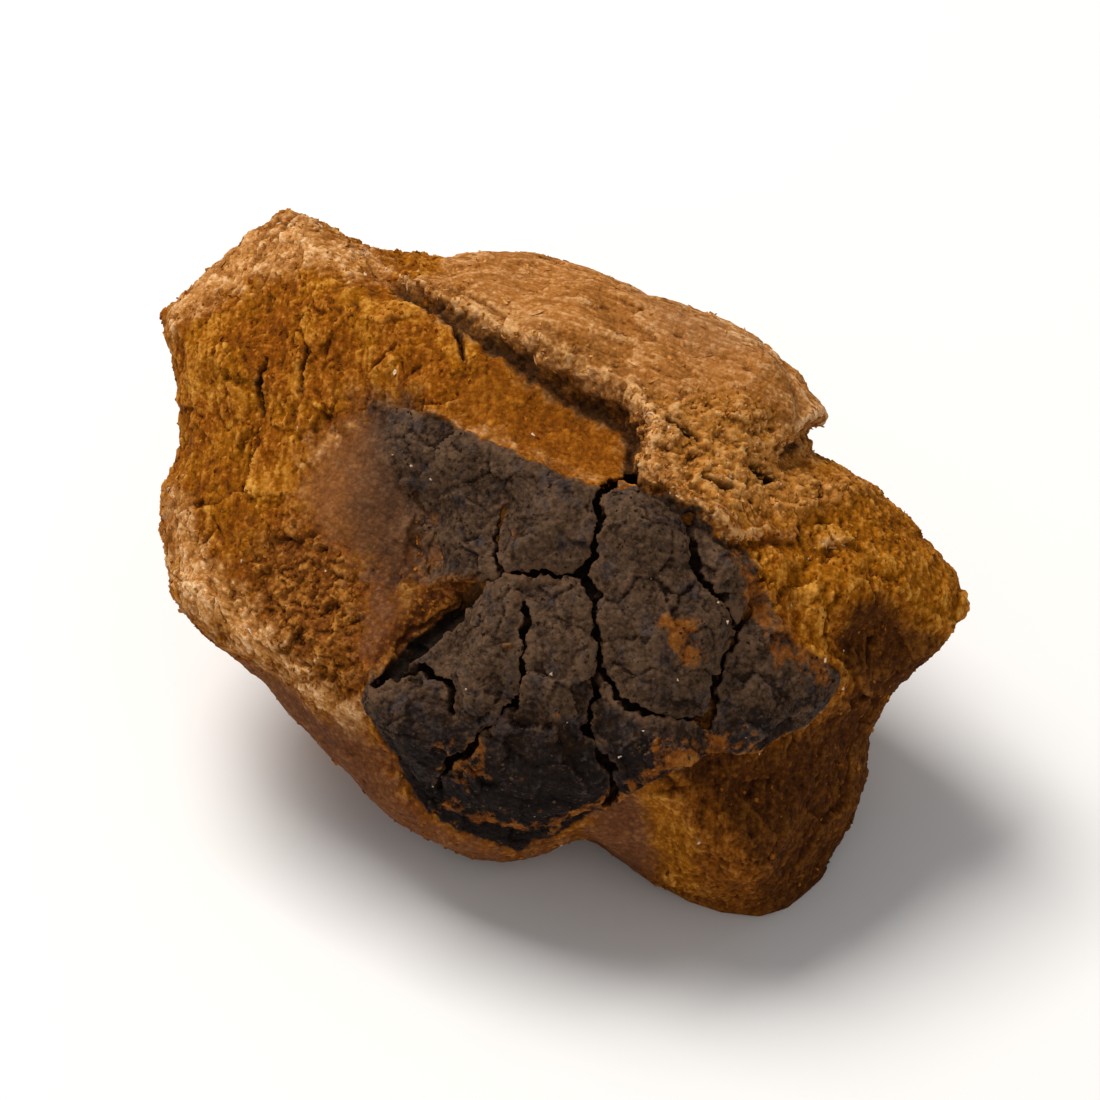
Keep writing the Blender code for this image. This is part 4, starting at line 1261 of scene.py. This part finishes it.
class MakeFibres(bpy.types.Operator):
    """Lays pale torn slivers along the lip, the ledge and the rims."""

    bl_idname = "chaga.make_fibres"
    bl_label = "Pale fibres"

    def execute(self, context):
        chunk = read_chunk()
        near_lip = np.exp(-(((chunk["lip"] - 0.1) / 0.40) ** 2))
        wanted = near_lip + 0.5 * smooth_step(-0.3, 0.3, chunk["rim"])
        wanted += 0.16 * smooth_step(-0.3, 0.5, chunk["ledge"])
        wanted *= 1 - smooth_step(-0.3, 0.0, chunk["crust"])
        wanted *= 1 - smooth_step(-0.35, -0.05, chunk["lip_gap_painted_shade"])
        count = context.scene.chunk_sizes.fibres
        long_way = stand_up(math.cos(GRAIN_TURN), math.sin(GRAIN_TURN), 0)
        finish = ("ledge", "ledge", "rust", 0.9)
        lay_grains(chunk, FIBRES, wanted, count, FIBRE_SIZES, 0.2, long_way, (105, 106), finish)
        return {"FINISHED"}


def area_light(name, place, size, colour, aim, power):
    """A soft square light that faces a point."""
    data = bpy.data.lights.new(name, "AREA")
    data.size = size
    data.energy = power
    data.color = colour
    light = link_object(name, data)
    light.location = place
    light.rotation_euler = (Vector(aim) - Vector(place)).to_track_quat("-Z", "Y").to_euler()


class MakeStage(bpy.types.Operator):
    """Sets up the pale floor, the soft lights and the camera."""

    bl_idname = "chaga.make_stage"
    bl_label = "Stage"

    def execute(self, context):
        stage = context.scene.stage_settings
        mesh = bmesh.new()
        bmesh.ops.create_grid(mesh, x_segments=2, y_segments=2, size=FLOOR_SIZE)
        data = as_data("floor", mesh)
        floor = link_object("floor", data)
        material, _, shader = new_material("pale_floor", FLOOR_SPECULAR)
        shader.inputs["Base Color"].default_value = (*stage.floor, 1)
        shader.inputs["Roughness"].default_value = FLOOR_ROUGHNESS
        data.materials.append(material)
        world = bpy.data.worlds.new("soft_surround")
        world.use_nodes = True
        background = world.node_tree.nodes["Background"]
        background.inputs["Color"].default_value = SURROUND_COLOUR
        background.inputs["Strength"].default_value = stage.surround
        context.scene.world = world
        middle = Vector((0, 0, MIDDLE_HEIGHT * MM))
        area_light("key_light", *KEY_LIGHT, middle, stage.key_power)
        area_light("fill_light", *FILL_LIGHT, middle, stage.fill_power)
        data = bpy.data.cameras.new("camera")
        data.lens = stage.lens
        data.clip_start = NEAREST_SEEN
        camera = link_object("camera", data)
        aim = middle + stand_up(*CAMERA_AIM) * MM
        away = Vector((0, -math.cos(stage.elevation), math.sin(stage.elevation)))
        camera.location = aim + away * CAMERA_DISTANCE
        camera.rotation_euler = (-away).to_track_quat("-Z", "Y").to_euler()
        context.scene.camera = camera
        context.scene.view_settings.view_transform = "Standard"
        return {"FINISHED"}


class ChunkPanel(bpy.types.Panel):
    """The steps that dress the chunk, in order."""

    bl_idname = "VIEW3D_PT_chaga_chunk"
    bl_label = "Chaga chunk"
    bl_space_type = "VIEW_3D"
    bl_region_type = "UI"
    bl_category = "Chaga"

    def draw(self, context):
        for operator in OPERATORS:
            self.layout.operator(operator.bl_idname)
        for title, kind in SETTINGS.items():
            box = self.layout.box()
            for name in kind.__annotations__:
                box.prop(getattr(context.scene, title), name)


OPERATORS = (MakeChunk, MakeCrumbs, MakeGrit, MakeFibres, MakeStage)
SETTINGS = {"chunk_sizes": ChunkSizes, "chunk_colours": ChunkColours, "stage_settings": StageSettings}
CLASSES = tuple(SETTINGS.values()) + OPERATORS + (ChunkPanel,)


def register():
    """Registers the classes and hangs the settings on the scene."""
    for kind in CLASSES:
        bpy.utils.register_class(kind)
    for title, kind in SETTINGS.items():
        setattr(bpy.types.Scene, title, PointerProperty(type=kind))


def unregister():
    """Takes the settings and the classes away again."""
    for title in SETTINGS:
        delattr(bpy.types.Scene, title)
    for kind in reversed(CLASSES):
        bpy.utils.unregister_class(kind)


def main():
    """Dresses the chunk step by step."""
    register()
    bpy.ops.chaga.make_chunk()
    bpy.ops.chaga.make_crumbs()
    bpy.ops.chaga.make_grit()
    bpy.ops.chaga.make_fibres()
    bpy.ops.chaga.make_stage()


if __name__ == "__main__":
    main()
